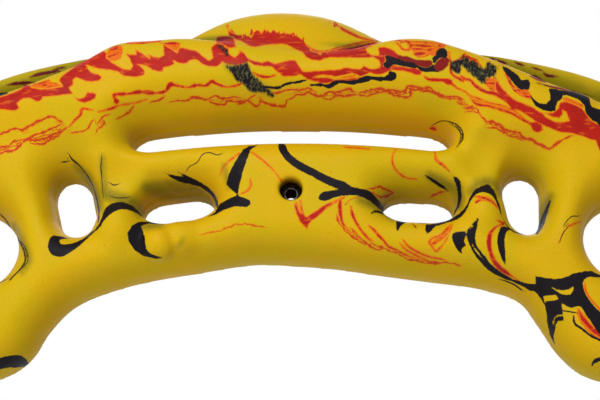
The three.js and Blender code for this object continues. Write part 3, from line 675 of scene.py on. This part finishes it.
red_threads = [
    # left half of the rail
    [(-66, 192, 0.7), (-46, 166, 1.2), (-26, 149, 1.4), (-6, 138, 1.4), (15, 129, 1.4),
     (23, 130, 1.3), (33, 124, 1.4), (44, 119, 1.4), (51, 117, 1.4), (61, 121, 1.2)],
    [(-6, 149, 1.2), (8, 146, 1.2), (17, 141, 1.3), (25, 139, 1.3), (40, 133, 1.4), (50, 129, 1.4),
     (59, 125, 1.0)],
    [(-58, 206, 0.7), (-34, 176, 1.2), (-6, 156, 1.4), (17, 148, 1.6), (27, 140, 1.6),
     (44, 139, 1.4), (55, 134, 1.4), (66, 128, 1.2)],
    [(32, 143, 1.2), (44, 143, 1.3), (52, 139, 1.3), (60, 135, 0.8)],
    [(72, 133, 0.8), (80, 132, 1.0), (87, 129, 1.2), (92, 121, 0.8)],
    [(98, 131, 0.8), (104, 123, 1.0)],
    [(99, 122, 1.0), (103, 117, 1.8), (108, 115, 1.2)],
    [(118, 118, 0.9), (129, 113, 1.4), (133, 107, 1.6)],
    [(152, 102, 1), (160, 99, 1.4), (163, 97, 0.8)],
    [(171, 102, 1), (179, 101, 1.3), (187, 101, 1.3), (192, 98, 1.5), (204, 98.5, 1.5),
     (210, 98.5, 1.3), (215, 96, 1.4), (220, 97.5, 1.3), (228, 98.5, 1.3), (234, 97, 1.3),
     (240, 97.5, 0.9)],
    [(211, 102, 0.9), (219, 105, 1.3), (225, 104.5, 1.4), (226, 101.5, 1.2), (232, 101, 1.3),
     (240, 103, 1.4), (246, 101, 1.3), (252, 97, 1.2), (255, 95, 0.8)],
    [(246, 100, 0.9), (252, 104, 1.3), (256, 106, 1.5), (259, 104, 1.2), (260, 100, 0.9)],
    [(262, 101, 1), (268, 104, 1.4), (274, 105, 1.5), (283, 106, 1.4), (286, 104.5, 1.3),
     (287, 101, 1.2), (292, 97.5, 1.5), (298, 95, 1.6), (305, 95, 1.5), (307, 92.5, 1.2),
     (315, 95, 1.4), (319, 97, 1.4), (325, 94, 1.4), (328, 92, 1.4), (334, 92, 1.5),
     (340, 91.5, 1.5), (346, 90, 1.3), (350, 89, 1.4), (353, 91, 1.3), (358, 92, 1.3),
     (366, 91.5, 1.3), (374, 89, 1.4), (378, 88, 1.5), (384, 89.5, 1.5), (390, 90, 1.4),
     (396, 92, 1.6), (400, 92, 1.8), (405, 91, 1.6), (407, 89, 1.6), (408, 86.5, 1.6),
     (410, 86, 1.8), (416, 86.5, 2), (420, 88, 1.6), (426, 87, 1.8), (431, 88, 1.6),
     (433, 91, 1.4), (438, 94, 1.6), (444, 96, 1.4), (456, 97, 1.2), (462, 99, 0.7)],
    [(273, 93, 0.9), (280, 92, 1.2), (287, 90.5, 1.2), (293, 89.5, 1.2), (300, 89.5, 1.3),
     (306, 88, 1.1), (315, 91, 0.8)],
    [(325, 99, 0.8), (332, 99, 1), (334, 96, 1.1), (338, 95, 1.2), (345, 96, 1.2), (350, 95, 1.3),
     (356, 94.5, 1.2), (362, 96, 1.1), (370, 95.5, 1.1), (377, 93, 1.3), (382, 91, 1.3),
     (388, 92, 1.4), (394, 94.5, 1.5), (400, 96, 1.6), (406, 97, 1.6), (411, 96, 1.4),
     (411, 92, 1.6), (412, 89, 1.6), (420, 90, 1.8), (426, 91, 1.8), (432, 92, 1.5),
     (437, 94, 1.4), (441, 97, 1.4), (446, 99, 1.3), (452, 99, 1), (461, 100.5, 0.7)],
    [(458, 103, 0.7), (461, 104, 1.2), (465, 104, 0.7)],
    [(466, 108, 1), (472, 107, 1.6), (478, 109, 1)],
    [(468, 112, 0.8), (474, 111, 1), (480, 113, 0.6)],
    [(480, 113, 0.7), (484, 119, 1.2), (487, 122, 1.6), (494, 122.5, 2), (500, 125, 1.6),
     (503, 129, 1.5), (510, 131, 2), (517, 132, 1.6), (523, 137, 1.6), (531, 139.5, 2),
     (536, 144, 1.6), (544, 146.5, 1.8), (550, 149, 1.6), (555, 145.5, 1.5), (560, 141, 1.2),
     (571, 137, 0.8)],
    [(488, 127, 0.7), (495, 127.5, 1.3), (501, 131, 1.1), (508, 135.5, 1.3), (516, 136.5, 1.1),
     (522, 140, 0.6)],
    # round the slot, the pockets and the bars
    [(202, 234, 0.4), (211, 232, 0.5), (222, 230, 0.5), (232, 226, 0.6), (244, 224, 0.7),
     (264, 227, 0.6)],
    [(369, 190, 0.9), (378, 187, 1.4), (392, 193, 1.2), (382, 197, 1.2), (371, 192, 0.9)],
    [(337, 216, 0.7), (339, 222, 0.9), (344, 229, 1), (352, 236, 1), (360, 242, 0.9),
     (364, 244, 0.6)],
    [(352, 230, 0.7), (358, 236, 1), (366, 243, 1.1), (376, 248.5, 1), (381, 249.5, 0.6)],
    [(373, 243, 0.7), (381, 247, 1), (390, 251, 1), (400, 255, 0.7)],
    [(381, 248, 0.6), (392, 252, 0.8), (404, 257, 0.9), (416, 261, 1), (428, 263, 1),
     (440, 264, 0.7)],
    [(420, 259, 0.7), (432, 262, 1.1), (446, 262.5, 1), (460, 265, 0.6)],
    [(431, 197, 0.7), (436, 194, 1.2), (444, 192, 0.8)],
]
black_threads = [
    # left half
    [(69, 155, 1), (73, 160, 2.2), (79, 165, 1.6), (85, 172, 1.2), (92, 184, 1.2), (96, 197, 1.6),
     (99, 212, 1.6), (98, 222, 1.4)],
    [(62, 162, 1), (66, 162, 2)],
    [(102, 156, 0.6), (101, 168, 1.4), (102, 180, 0.9), (103, 198, 0.6)],
    [(110, 183, 0.8), (114, 185, 1.6), (119, 184, 0.8)],
    [(110, 196, 0.6), (118, 198, 1.2), (129, 197, 0.8)],
    [(-4, 210, 1), (5, 219, 1.4), (12, 231, 1.4), (20, 242, 1.8), (24.5, 253, 1.6), (25, 261, 1.4),
     (21, 268, 1.3), (10, 280, 1.8)],
    [(21, 241, 0.8), (26, 249, 1), (28, 257, 1), (26, 264, 1), (19, 271, 0.7)],
    [(-4, 285, 0.9), (9, 278, 0.9)],
    [(187, 170, 0.8), (190, 166, 1.1), (196, 163, 1.1), (199, 160, 1.1), (201, 156, 1.1),
     (205, 153, 1.2), (212, 153, 1.2), (217, 155, 1.1), (222, 153.5, 0.8)],
    # slot's right end
    [(433, 125, 0.8), (438, 122, 1.2), (444, 121, 1.2), (456, 124, 1.3), (462, 131, 1.4),
     (463, 139, 1.4), (457, 147, 0.9)],
    [(451, 124, 0.7), (458, 129, 1.1), (461, 136, 1.2), (459, 143, 0.8)],
    # right half
    [(496, 199, 1), (499, 206, 1.8), (501, 214, 1.2)],
    [(499, 279, 0.8), (511, 283, 2), (522, 290, 1.6)],
    [(564, 225, 0.8), (571, 217, 1.3), (578, 216, 1)],
    [(388, 217, 0.7), (396, 219.5, 1), (410, 221.5, 1), (426, 223.5, 0.9)],
    [(504, 221, 0.7), (508, 227, 1.3), (513, 231, 1.3), (520, 233.8, 1.2), (528, 234.5, 1),
     (535, 232.5, 1.2), (541, 228, 1.3)],
    [(560, 241, 0.8), (563, 233, 1.1), (568, 227, 0.8)],
    [(562, 310.5, 1.4), (568, 311.5, 1.6), (575, 312.5, 1.4)],
]
maroon_trails = [
    [(413, 224, 1), (415.5, 227, 1.6), (417, 230, 0.8)],
    # on the flange behind the lip
    [(6, 85.5, 1), (13, 84, 3.4), (24, 83, 3.6), (35, 82.5, 1)],
    [(30, 77, 1.5), (38, 74.5, 3.6), (48, 72.5, 3.4), (60, 71, 1.6)],
    [(52, 70, 1), (58, 68.5, 2.6), (66, 67, 1.4)],
    [(489, 58, 0.8), (494, 59, 2), (499, 60, 1)],
    [(498, 61, 1), (503, 62.5, 3.6), (508, 64, 1.4)],
    [(514, 62, 1), (519, 64, 2.8), (525, 66, 1)],
    [(531, 67, 0.8), (537, 69, 2.4), (543, 70.5, 1)],
    [(543, 73, 1), (549, 76, 3.6), (558, 76.5, 1)],
    [(530, 76, 1), (535, 77, 4), (540, 80, 3), (546, 82, 1)],
    [(537, 83, 1.4), (548, 86, 1.8), (560, 88.5, 2.4), (571, 91, 1.6), (584, 94, 1.2),
     (595, 97, 0.8)],
]
# Yellow that stayed clear inside the other colours.
clear_pours = [
    [(541, 111), (546, 117), (553, 121), (561, 122.5), (569.5, 120.5), (566, 112), (562, 109.5),
     (562.5, 115), (559, 118), (552, 117), (546, 113.5)],
    [(401, 43), (407, 43), (408, 47.5), (404, 48.5), (401, 46)],
    [(379, 43.5), (386, 42.5), (392, 43.5), (396, 46), (399, 50), (404, 52), (410, 51.5),
     (413, 53), (413.5, 56), (411, 58), (406, 58), (401, 56), (397, 53), (393, 49.5), (388, 46.5),
     (380, 46.5)],
    [(414, 57), (419, 58), (424, 56.5), (423, 60), (418, 60.5), (414.5, 58.5)],
    [(551, 287), (556, 289), (562, 290.5), (568, 290), (574, 286), (573, 291), (570, 294.5),
     (565, 295), (560, 293), (555, 290)],
    [(543, 296.5), (549, 295.5), (556, 295), (559, 299), (556, 300), (547, 301), (545, 304),
     (544, 300)],
]
clear_trails = [
    [(243, 73, 2.4), (247, 73, 4.4), (251, 72, 2.4)],
    [(470, 229, 0.8), (472.5, 226, 1.6)],
    [(472, 244, 0.8), (475, 249, 1.5), (479, 254.5, 1.3), (484, 260, 0.6)],
    [(563, 315.5, 1.7), (557, 316, 1.7), (554, 319, 1.5), (553, 325, 1.2)],
    [(562, 304.5, 1.3), (566, 307.5, 1.6), (572, 309.5, 1.6), (577, 310, 1.6)],
    [(500, 68, 5), (504, 78, 5), (509, 89, 4.5), (516, 97, 4), (524, 100.5, 3.4), (531, 102, 2)],
]
# Thin grey-green veils of half mixed black with soft sides; some are painted shade in hollows.
veils_and_shade = [
    [(76, 166, 5), (86, 176, 9), (95, 192, 10), (99, 208, 8)],
    [(102, 158, 4), (103, 178, 6), (106, 194, 12), (118, 198, 12), (132, 203, 10), (140, 212, 8)],
    [(148, 188, 12), (166, 190, 20), (184, 191, 22), (200, 195, 16), (210, 203, 10)],
    [(14, 226, 4), (25, 246, 6), (29, 260, 5), (22, 272, 4)],
    [(138, 228, 4), (150, 226, 7), (160, 226, 3)],
    [(177, 247, 1), (181, 243, 3), (183, 238, 1)],
    [(430, 176, 8), (446, 184, 10), (458, 192, 12), (460, 206, 8)],
    [(470, 192, 7), (480, 183, 9), (492, 183, 9), (500, 194, 6)],
    [(538, 222, 7), (546, 206, 9), (551, 196, 6)],
    [(228, 66, 6), (240, 72, 12), (252, 82, 10), (268, 92, 6)],
    [(224, 165, 2), (227, 178, 4), (229, 188, 2)],
    [(360, 200, 8), (378, 206, 10), (392, 216, 8)],
]
# In pixels: from one swelling of a ripple to the next, the length of the steps that a trail is
# followed in, and the distance that stands for nowhere near.
comb_pitch, trail_step, far_off = 14.0, 2.5, 99.0


def picture_place(points):
    """Where points of the scene lie in the picture, in pixels across and down."""
    towards = points - camera_place
    depth = towards @ view_forward
    scale = picture[0] * lens / sensor
    return np.stack([picture[0] / 2 + scale * towards[:, 0] / depth,
                     picture[1] / 2 - scale * (towards @ view_up) / depth], 1)


def near_to(points, at, margin=14):
    """Numbers of the places in the box round some points of the picture, or just beside it."""
    low, high = np.min(points, 0)[:2] - margin, np.max(points, 0)[:2] + margin
    return np.nonzero(np.all((at > low) & (at < high), axis=1))[0]


def inside_pours(pours, at):
    """How far each place lies inside the nearest pour, in pixels; negative outside all of them."""
    reach = np.full(len(at), -far_off)
    for pour in pours:
        near = near_to(pour, at)
        ring = np.array(pour, float)
        reach[near] = np.maximum(reach[near], inside_of(ring, at[near, 0], at[near, 1]))
    return reach


def trail_steps(trail, at):
    """Goes along a rounded trail in short straight steps. For each step it gives the step itself,
    and for each place the share of it that lies behind, how far off it lies, and the half width."""
    length = np.linalg.norm(np.diff(np.array(trail)[:, :2], axis=0), axis=1).sum()
    line = smooth_line(trail, max(6, int(length / trail_step)))
    for start, end in zip(line[:-1], line[1:]):
        step = end[:2] - start[:2]
        t = np.clip(((at - start[:2]) @ step) / (step @ step), 0, 1)
        yield step, t, at - start[:2] - t[:, None] * step, (start[2] + t * (end[2] - start[2])) / 2


def inside_trails(trails, at, combed=0.0):
    """How far each place lies inside the nearest trail, in pixels. Combed trails swell in turn."""
    reach = np.full(len(at), -far_off)
    for trail in trails:
        near, gone = near_to(trail, at), 0.0
        for step, t, off, half in trail_steps(trail, at[near]):
            along = gone + t * np.linalg.norm(step)
            along = along + 5 * np.sin(along / 23 + trail[0][0])
            swell = 1 + combed * (along / comb_pitch % 1 - 0.2)
            reach[near] = np.maximum(reach[near], swell * half - np.linalg.norm(off, axis=1))
            gone += np.linalg.norm(step)
    return reach


def beside_threads(threads, at):
    """Signed distance from the nearest thread, its half width and the plain distance, in pixels."""
    found = np.tile([far_off, 0.0, far_off], (len(at), 1))
    for thread in threads:
        near = near_to(thread, at)
        for step, _, off, half in trail_steps(thread, at[near]):
            away = np.linalg.norm(off, axis=1)
            side = np.where(off[:, 0] * step[1] - off[:, 1] * step[0] > 0, 1, -1)
            better = away < found[near, 2]
            found[near[better]] = np.stack([side * away, half, away], 1)[better]
    return found


def vectors(attributes, what):
    flat = np.empty(len(attributes) * 3, np.float32)
    attributes.foreach_get(what, flat)
    return flat.reshape(-1, 3).astype(float)


spots = vectors(cast.data.vertices, "co")
outward = vectors(cast.data.vertex_normals, "vector")
to_camera = camera_place - spots
to_camera /= np.linalg.norm(to_camera, axis=1, keepdims=True)
# On what faces away from the camera the colours wander off, so that the back isn't the front again.
turned_away = smooth_step(-np.sum(outward * to_camera, axis=1), 0.0, 0.9)
seen_at = picture_place(spots)
wander_x = 46 * np.sin(11 * spots[:, 2] + 2.1) + 30 * np.sin(17 * spots[:, 0] + 0.7)
wander_z = 24 * np.sin(13 * spots[:, 0] + 4.0) + 16 * np.sin(23 * spots[:, 2] + 1.3)
seen_at += turned_away[:, None] * np.stack([wander_x, wander_z], 1)


def inside_color(pours, trails, ripples=(), combed=0.0):
    """How far inside a colour each place of the casting lies, in pixels."""
    inside = np.maximum(inside_pours(pours, seen_at), inside_trails(trails, seen_at))
    return np.maximum(inside, inside_trails(ripples, seen_at, combed))


clear = inside_color(clear_pours, clear_trails)
red_in = inside_color(red_pours, red_trails, red_ripples, 0.75)
orange_in = inside_color(orange_pours, orange_trails)
black_in = inside_color(black_pours, black_trails, black_ripples, 0.6)
maroon_in = inside_color(maroon_pours, maroon_trails)
smoke_in = inside_pours(smoke_pours, seen_at)
veil_and_shade = smooth_step(inside_trails(veils_and_shade, seen_at), -5, 5)

# The groove and the flange behind the lip get painted shade, darker and greener. On the crown the
# upper side of its red band is combed into feathers. The counterbores get painted shade inside.
x, y, z = spots.T * 1000
over_lip = z - lip_height(x)
on_crown = smooth_step(np.abs(x - placed(*crown_share)[0]), 125, 95)
shade_behind_lip = smooth_step(y, -46, -38) * smooth_step(over_lip, -6, 0)
shade_behind_lip *= 1 - smooth_step(over_lip, 8, 40 - 24 * on_crown)
crown_band = [
    (226, 28), (240, 38), (250, 41), (283, 38), (300, 44), (306, 49), (320, 57), (340, 53),
]
band_middle = np.interp(seen_at[:, 0], *np.array(crown_band, float).T)
in_band = smooth_step(np.abs(seen_at[:, 0] - 283), 60, 54)
feathered = smooth_step(band_middle - seen_at[:, 1], -1, 2) * in_band
# Painted shade inside each counterbore, fading out towards its rim.
counterbore_shade = np.zeros(len(spots))
for share in bolt_shares.values():
    in_counterbore = from_bolt(x, z, share) < counterbore / 2 + 0.1
    counterbore_shade = np.maximum(counterbore_shade, in_counterbore * smooth_step(y, -54, -44))


def keep(name, *columns):
    layer = cast.data.attributes.new(name, "FLOAT_VECTOR", "POINT")
    layer.data.foreach_set("vector", np.stack(columns, 1).astype(np.float32).ravel())


keep("pigment", *(np.minimum(inside, -clear) for inside in (red_in, orange_in, black_in)))
keep("tint", maroon_in, smoke_in, veil_and_shade)
keep("place", counterbore_shade, shade_behind_lip, feathered)
keep("red_thread", *beside_threads(red_threads, seen_at).T)
keep("black_thread", *beside_threads(black_threads, seen_at).T)

# Resin casting: its material
# Polyester resin with a matt, slightly grainy skin: opaque yellow that pools a little warmer and
# greener, with the pigments level with the surface and a few pinholes from the pour.
yellow_warm, yellow_green = (0.74, 0.442, 0.004), (0.67, 0.458, 0.004)
# The second colour here is painted shade for the counterbores.
pinhole_brown, counterbore_shade_tint = (0.22, 0.12, 0.01), (0.16, 0.105, 0.15)
# The olive tint is painted shade: it darkens and greens the groove and flange behind the lip.
veil_and_shade_green, lip_shade_tint = (0.13, 0.125, 0.012), (0.34, 0.52, 1.2)
red, maroon, orange = (0.50, 0.017, 0.010), (0.22, 0.010, 0.008), (0.78, 0.15, 0.006)
black, black_speck, smoke_grey = (0.008, 0.006, 0.009), (0.04, 0.036, 0.032), (0.11, 0.10, 0.035)


class Nodes:
    """A material's node tree, with short calls for the nodes that the finishes are made of."""

    def __init__(self, tree):
        self.tree = tree

    def give(self, socket, value):
        if isinstance(value, bpy.types.NodeSocket):
            self.tree.links.new(value, socket)
        elif isinstance(value, tuple) and len(value) < len(socket.default_value):
            socket.default_value = (*value, 1)
        else:
            socket.default_value = value

    def add(self, kind, inputs=None, **settings):
        node = self.tree.nodes.new(kind)
        for name, value in settings.items():
            setattr(node, name, value)
        for name, value in (inputs or {}).items():
            self.give(node.inputs[name], value)
        return node

    def math(self, operation, *values):
        node = self.add("ShaderNodeMath", operation=operation)
        for socket, value in zip(node.inputs, values):
            self.give(socket, value)
        return node.outputs[0]

    def plus(self, one, other):
        return self.math("ADD", one, other)

    def times(self, product, *factors):
        for factor in factors:
            product = self.math("MULTIPLY", product, factor)
        return product

    def mix(self, share, below, above, blend="MIX"):
        node = self.add("ShaderNodeMix", data_type="RGBA", blend_type=blend)
        for index, value in ((0, share), (6, below), (7, above)):
            self.give(node.inputs[index], value)
        return node.outputs[2]

    def ramp(self, value, low, high, to_low=0.0, to_high=1.0):
        node = self.add("ShaderNodeMapRange", interpolation_type="SMOOTHSTEP")
        for socket, number in zip(node.inputs, (value, low, high, to_low, to_high)):
            self.give(socket, number)
        return node.outputs[0]

    def noise(self, scale, detail=2.0, stretch=(1, 1, 1), at=(0, 0, 0)):
        """Noise with so many lumps to a metre, pulled out along the axes whose stretch is small."""
        place = self.add("ShaderNodeTexCoord").outputs["Object"]
        moved = {"Vector": place, "Location": at, "Scale": stretch}
        place = self.add("ShaderNodeMapping", moved).outputs[0]
        lumpy = {"Vector": place, "Scale": scale, "Detail": detail}
        return self.add("ShaderNodeTexNoise", lumpy).outputs["Fac"]

    def swing(self, reach, *noise, **options):
        """Noise that swings up to about a third of reach to both sides of zero."""
        return self.times(self.math("SUBTRACT", self.noise(*noise, **options), 0.5), reach)

    def three(self, name):
        stored = self.add("ShaderNodeAttribute", attribute_name=name).outputs["Vector"]
        return tuple(self.add("ShaderNodeSeparateXYZ", {"Vector": stored}).outputs)


resin = bpy.data.materials.new("poured_resin")
resin.use_nodes = True
skin = Nodes(resin.node_tree)
shader = resin.node_tree.nodes["Principled BSDF"]
red_in, orange_in, black_in = skin.three("pigment")
maroon_in, smoke_in, veil_and_shade_share = skin.three("tint")
counterbore_shade_share, lip_shade_share, feather_share = skin.three("place")

# Every edge wobbles a little. What was stirred in frays up and down, along the pull of the comb.
wobble = skin.plus(skin.swing(1.6, 190, 3), skin.swing(1.2, 700, 2, at=(3, 1, 2)))
combing = skin.swing(1, 420, 3, stretch=(1, 0.3, 0.22), at=(5, 0, 1))
fray = skin.plus(wobble, skin.times(combing, 6))
red_wobble = skin.plus(wobble, skin.times(combing, 14, feather_share))
edge, thread_edge = 0.45, 0.4


def covered(inside, wobble_by, soft=edge):
    """Share of a place that a colour covers, from how far inside it the place lies."""
    return skin.ramp(skin.plus(inside, wobble_by), -soft, soft)


def thread_share(name, wobble_by, swelling, wider=0.0):
    """Share of a place that a thin thread covers: inside its half width of its wandering middle.
    It stops some way off, where the signed distance jumps from one thread to the next."""
    side, half, away = skin.three(name)
    wandered = skin.math("ABSOLUTE", skin.plus(side, wobble_by))
    half = skin.plus(skin.times(half, swelling), wider)
    inside = skin.ramp(skin.math("SUBTRACT", half, wandered), -thread_edge, thread_edge)
    return skin.times(inside, skin.ramp(away, 3.2, 4.4, 1.0, 0.0))


# Yellow
base = skin.mix(skin.ramp(skin.noise(14, 3), 0.35, 0.65), yellow_warm, yellow_green)
pinholes = skin.ramp(skin.noise(800, 2, at=(6, 2, 8)), 0.70, 0.76)
base = skin.mix(skin.times(pinholes, 0.8), base, pinhole_brown)
sanded = skin.ramp(skin.noise(950, 2, at=(2, 7, 4)), 0.35, 0.65, 0.0, 0.12)
base = skin.mix(sanded, base, pinhole_brown)

# Orange, red and maroon: red bleeds into the yellow and has an orange rim
strokes = skin.ramp(skin.noise(300, 3, (0.35, 1, 1), (1, 1, 5)), 0.50, 0.64)
color = skin.mix(covered(orange_in, wobble), base, skin.mix(strokes, orange, red))
red_depth = skin.plus(red_in, red_wobble)
color = skin.mix(skin.ramp(red_depth, -1.3, 0.2), color, skin.mix(0.5, base, orange))
deep = skin.ramp(skin.noise(55, 2, at=(2, 2, 7)), 0.35, 0.7, 0.0, 0.35)
streaks = skin.ramp(skin.noise(420, 3, (0.22, 1, 0.8), (3, 7, 5)), 0.56, 0.70, 0.0, 0.55)
body_red = skin.mix(streaks, skin.mix(deep, red, maroon), orange)
rim_to_body = skin.ramp(red_depth, 0.2, 1.2)
color = skin.mix(covered(red_in, red_wobble), color, skin.mix(rim_to_body, orange, body_red))
jagged = skin.plus(skin.swing(2.4, 330, 2, at=(2, 5, 2)), skin.swing(5, 130, 2, at=(4, 5, 2)))
swelling = skin.ramp(skin.noise(240, 2, at=(8, 8, 3)), 0.3, 0.7, 0.8, 1.9)
halo = thread_share("red_thread", jagged, swelling, 0.9)
color = skin.mix(halo, color, skin.mix(0.45, base, orange))
color = skin.mix(thread_share("red_thread", jagged, swelling), color, skin.mix(0.7, orange, red))
color = skin.mix(covered(maroon_in, wobble, 0.8), color, maroon)

# Veils and painted shade, with a dust of black in them
cloud = skin.ramp(skin.noise(150, 4, at=(7, 7, 7)), 0.25, 0.75, 0.8, 1.0)
color = skin.mix(skin.times(veil_and_shade_share, cloud, 0.75), color, veil_and_shade_green)
dust = skin.ramp(skin.noise(1300, 3, at=(3, 3, 9)), 0.60, 0.66)
color = skin.mix(skin.times(veil_and_shade_share, dust, 0.6), color, black)
# Painted shade behind the lip.
color = skin.mix(lip_shade_share, color, lip_shade_tint, "MULTIPLY")

# Black, and the painted shade in the counterbores
specks = skin.ramp(skin.noise(1500, 2), 0.66, 0.72)
black_look = skin.mix(specks, black, black_speck)
mottle = skin.ramp(skin.noise(620, 4, (1, 0.6, 0.45), (9, 3, 3)), 0.46, 0.70)
color = skin.mix(covered(smoke_in, fray, 1.5), color, skin.mix(mottle, black, smoke_grey))
color = skin.mix(covered(black_in, wobble), color, black_look)
color = skin.mix(thread_share("black_thread", skin.times(jagged, 0.25), 0.9), color, black_look)
color = skin.mix(counterbore_shade_share, color, counterbore_shade_tint, "MULTIPLY")

# Skin
grain = skin.noise(1400, 3, at=(1, 9, 4))
lumps = skin.noise(120, 2, at=(4, 4, 1))
height = skin.plus(skin.times(grain, 0.45), lumps)
bump = skin.add("ShaderNodeBump", {"Strength": 0.25, "Distance": 0.0004, "Height": height})
roughness = skin.ramp(skin.noise(90, 3, at=(8, 2, 6)), 0.3, 0.7, 0.44, 0.56)
skin.give(shader.inputs["Base Color"], color)
skin.give(shader.inputs["Roughness"], roughness)
skin.give(shader.inputs["Normal"], bump.outputs[0])
# The painted shade in the counterbores also has no shine.
skin.give(shader.inputs["Specular IOR Level"], skin.ramp(counterbore_shade_share, 0, 1, 0.07, 0.0))

cast.data.materials.clear()
cast.data.materials.append(resin)
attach(cast, "root")
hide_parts("resin_casting")

# Washers
# Five turned steel washers, bonded in at the bottom of the counterbores so that a bolt's head
# doesn't crush the resin. Fine rings from the lathe, and a chamfer on both front edges.
washer_outer, washer_inner, washer_thickness = 20.4, 10.5, 2.5
washer_gap, washer_chamfer, washer_segments = 0.3, 0.35, 96
# Painted shade and highlight: the steel is near black, as at the bottom of a counterbore, and its
# inner chamfer is painted light.
shaded_steel, shaded_steel_dull = (0.018, 0.013, 0.008), (0.010, 0.007, 0.004)
steel_highlight = (0.35, 0.34, 0.33)

steel = bpy.data.materials.new("turned_steel")
steel.use_nodes = True
lathe = Nodes(steel.node_tree)
shader = steel.node_tree.nodes["Principled BSDF"]
stain = lathe.ramp(lathe.noise(260, 3), 0.4, 0.7)
rings = lathe.noise(2600, 1, (1, 0.2, 1))
rings_bump = lathe.add("ShaderNodeBump", {"Strength": 0.3, "Distance": 0.0001, "Height": rings})
to_edge = lathe.add("ShaderNodeAttribute", attribute_name="inner_edge").outputs["Fac"]
# Painted highlight along the inner chamfer of the bore.
inner_edge_highlight = lathe.ramp(to_edge, 0.91, 0.98)
stained = lathe.mix(stain, shaded_steel, shaded_steel_dull)
lathe.give(shader.inputs["Base Color"], lathe.mix(inner_edge_highlight, stained, steel_highlight))
lathe.give(shader.inputs["Roughness"], lathe.ramp(stain, 0, 1, 0.5, 0.7))
lathe.give(shader.inputs["Normal"], rings_bump.outputs[0])
shader.inputs["Metallic"].default_value = 1.0

washer_back = seat_thickness + washer_gap
washer_front = washer_back + washer_thickness
inner, outer = washer_inner / 2, washer_outer / 2
washer_profile = [
    (inner, washer_back), (outer, washer_back), (outer, washer_front - washer_chamfer),
    (outer - washer_chamfer, washer_front), (inner + washer_chamfer, washer_front),
    (inner, washer_front - washer_chamfer),
]
for place_name, share in bolt_shares.items():
    points, sides = turned(washer_profile, washer_segments, share)
    washer = mesh_object("steel_washer_" + place_name, points, sides)
    inner_edge = washer.data.attributes.new("inner_edge", "FLOAT", "POINT")
    on_inner_edge = [0.0, 0.0, 0.0, 0.0, 1.0, 1.0]
    inner_edge.data.foreach_set("value", np.repeat(on_inner_edge, washer_segments))
    washer.data.shade_smooth()
    washer.data.set_sharp_from_angle(angle=math.radians(30))
    washer.data.materials.append(steel)
    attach(washer, "root")
    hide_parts("washer_" + place_name)

# Studio
# A white surround that lights the beam less than it shows, and wide, soft lamps: one over the
# camera and to its left, one low on either side, one underneath and one behind.
world_light = 0.26


def looked_at(nodes):
    """1 where a ray comes from the camera, or by way of something shiny or clear, and else 0."""
    rays = nodes.add("ShaderNodeLightPath")
    shown = nodes.math("MAXIMUM", rays.outputs["Is Camera Ray"], rays.outputs["Is Glossy Ray"])
    return nodes.math("MAXIMUM", shown, rays.outputs["Is Transmission Ray"])


def lamp(name, place, width, watts):
    light = bpy.data.lights.new(name, "AREA")
    light.shape, light.size, light.energy = "DISK", width, watts
    made = bpy.data.objects.new(name, light)
    made.location = place
    made.rotation_euler = Vector(place).to_track_quat("Z", "Y").to_euler()
    bpy.context.scene.collection.objects.link(made)


lamp("lamp_front", (-0.4, -1.9, 1.15), 1.1, 33)
lamp("lamp_low_left", (-1.5, -1.5, -0.85), 1.2, 13)
lamp("lamp_low_right", (2.1, -0.5, -0.85), 1.2, 2.5)
lamp("lamp_under", (0.1, -0.6, -1.5), 1.0, 5)
lamp("lamp_behind", (0.3, 1.8, 1.4), 1.4, 10)

world = bpy.data.worlds.new("white_surround")
bpy.context.scene.world = world
world.use_nodes = True
sky = Nodes(world.node_tree)
background = world.node_tree.nodes["Background"]
background.inputs["Color"].default_value = (1, 1, 1, 1)
sky.give(background.inputs["Strength"], sky.ramp(looked_at(sky), 0, 1, world_light, 1.0))

bpy.context.scene.view_settings.view_transform = "Standard"
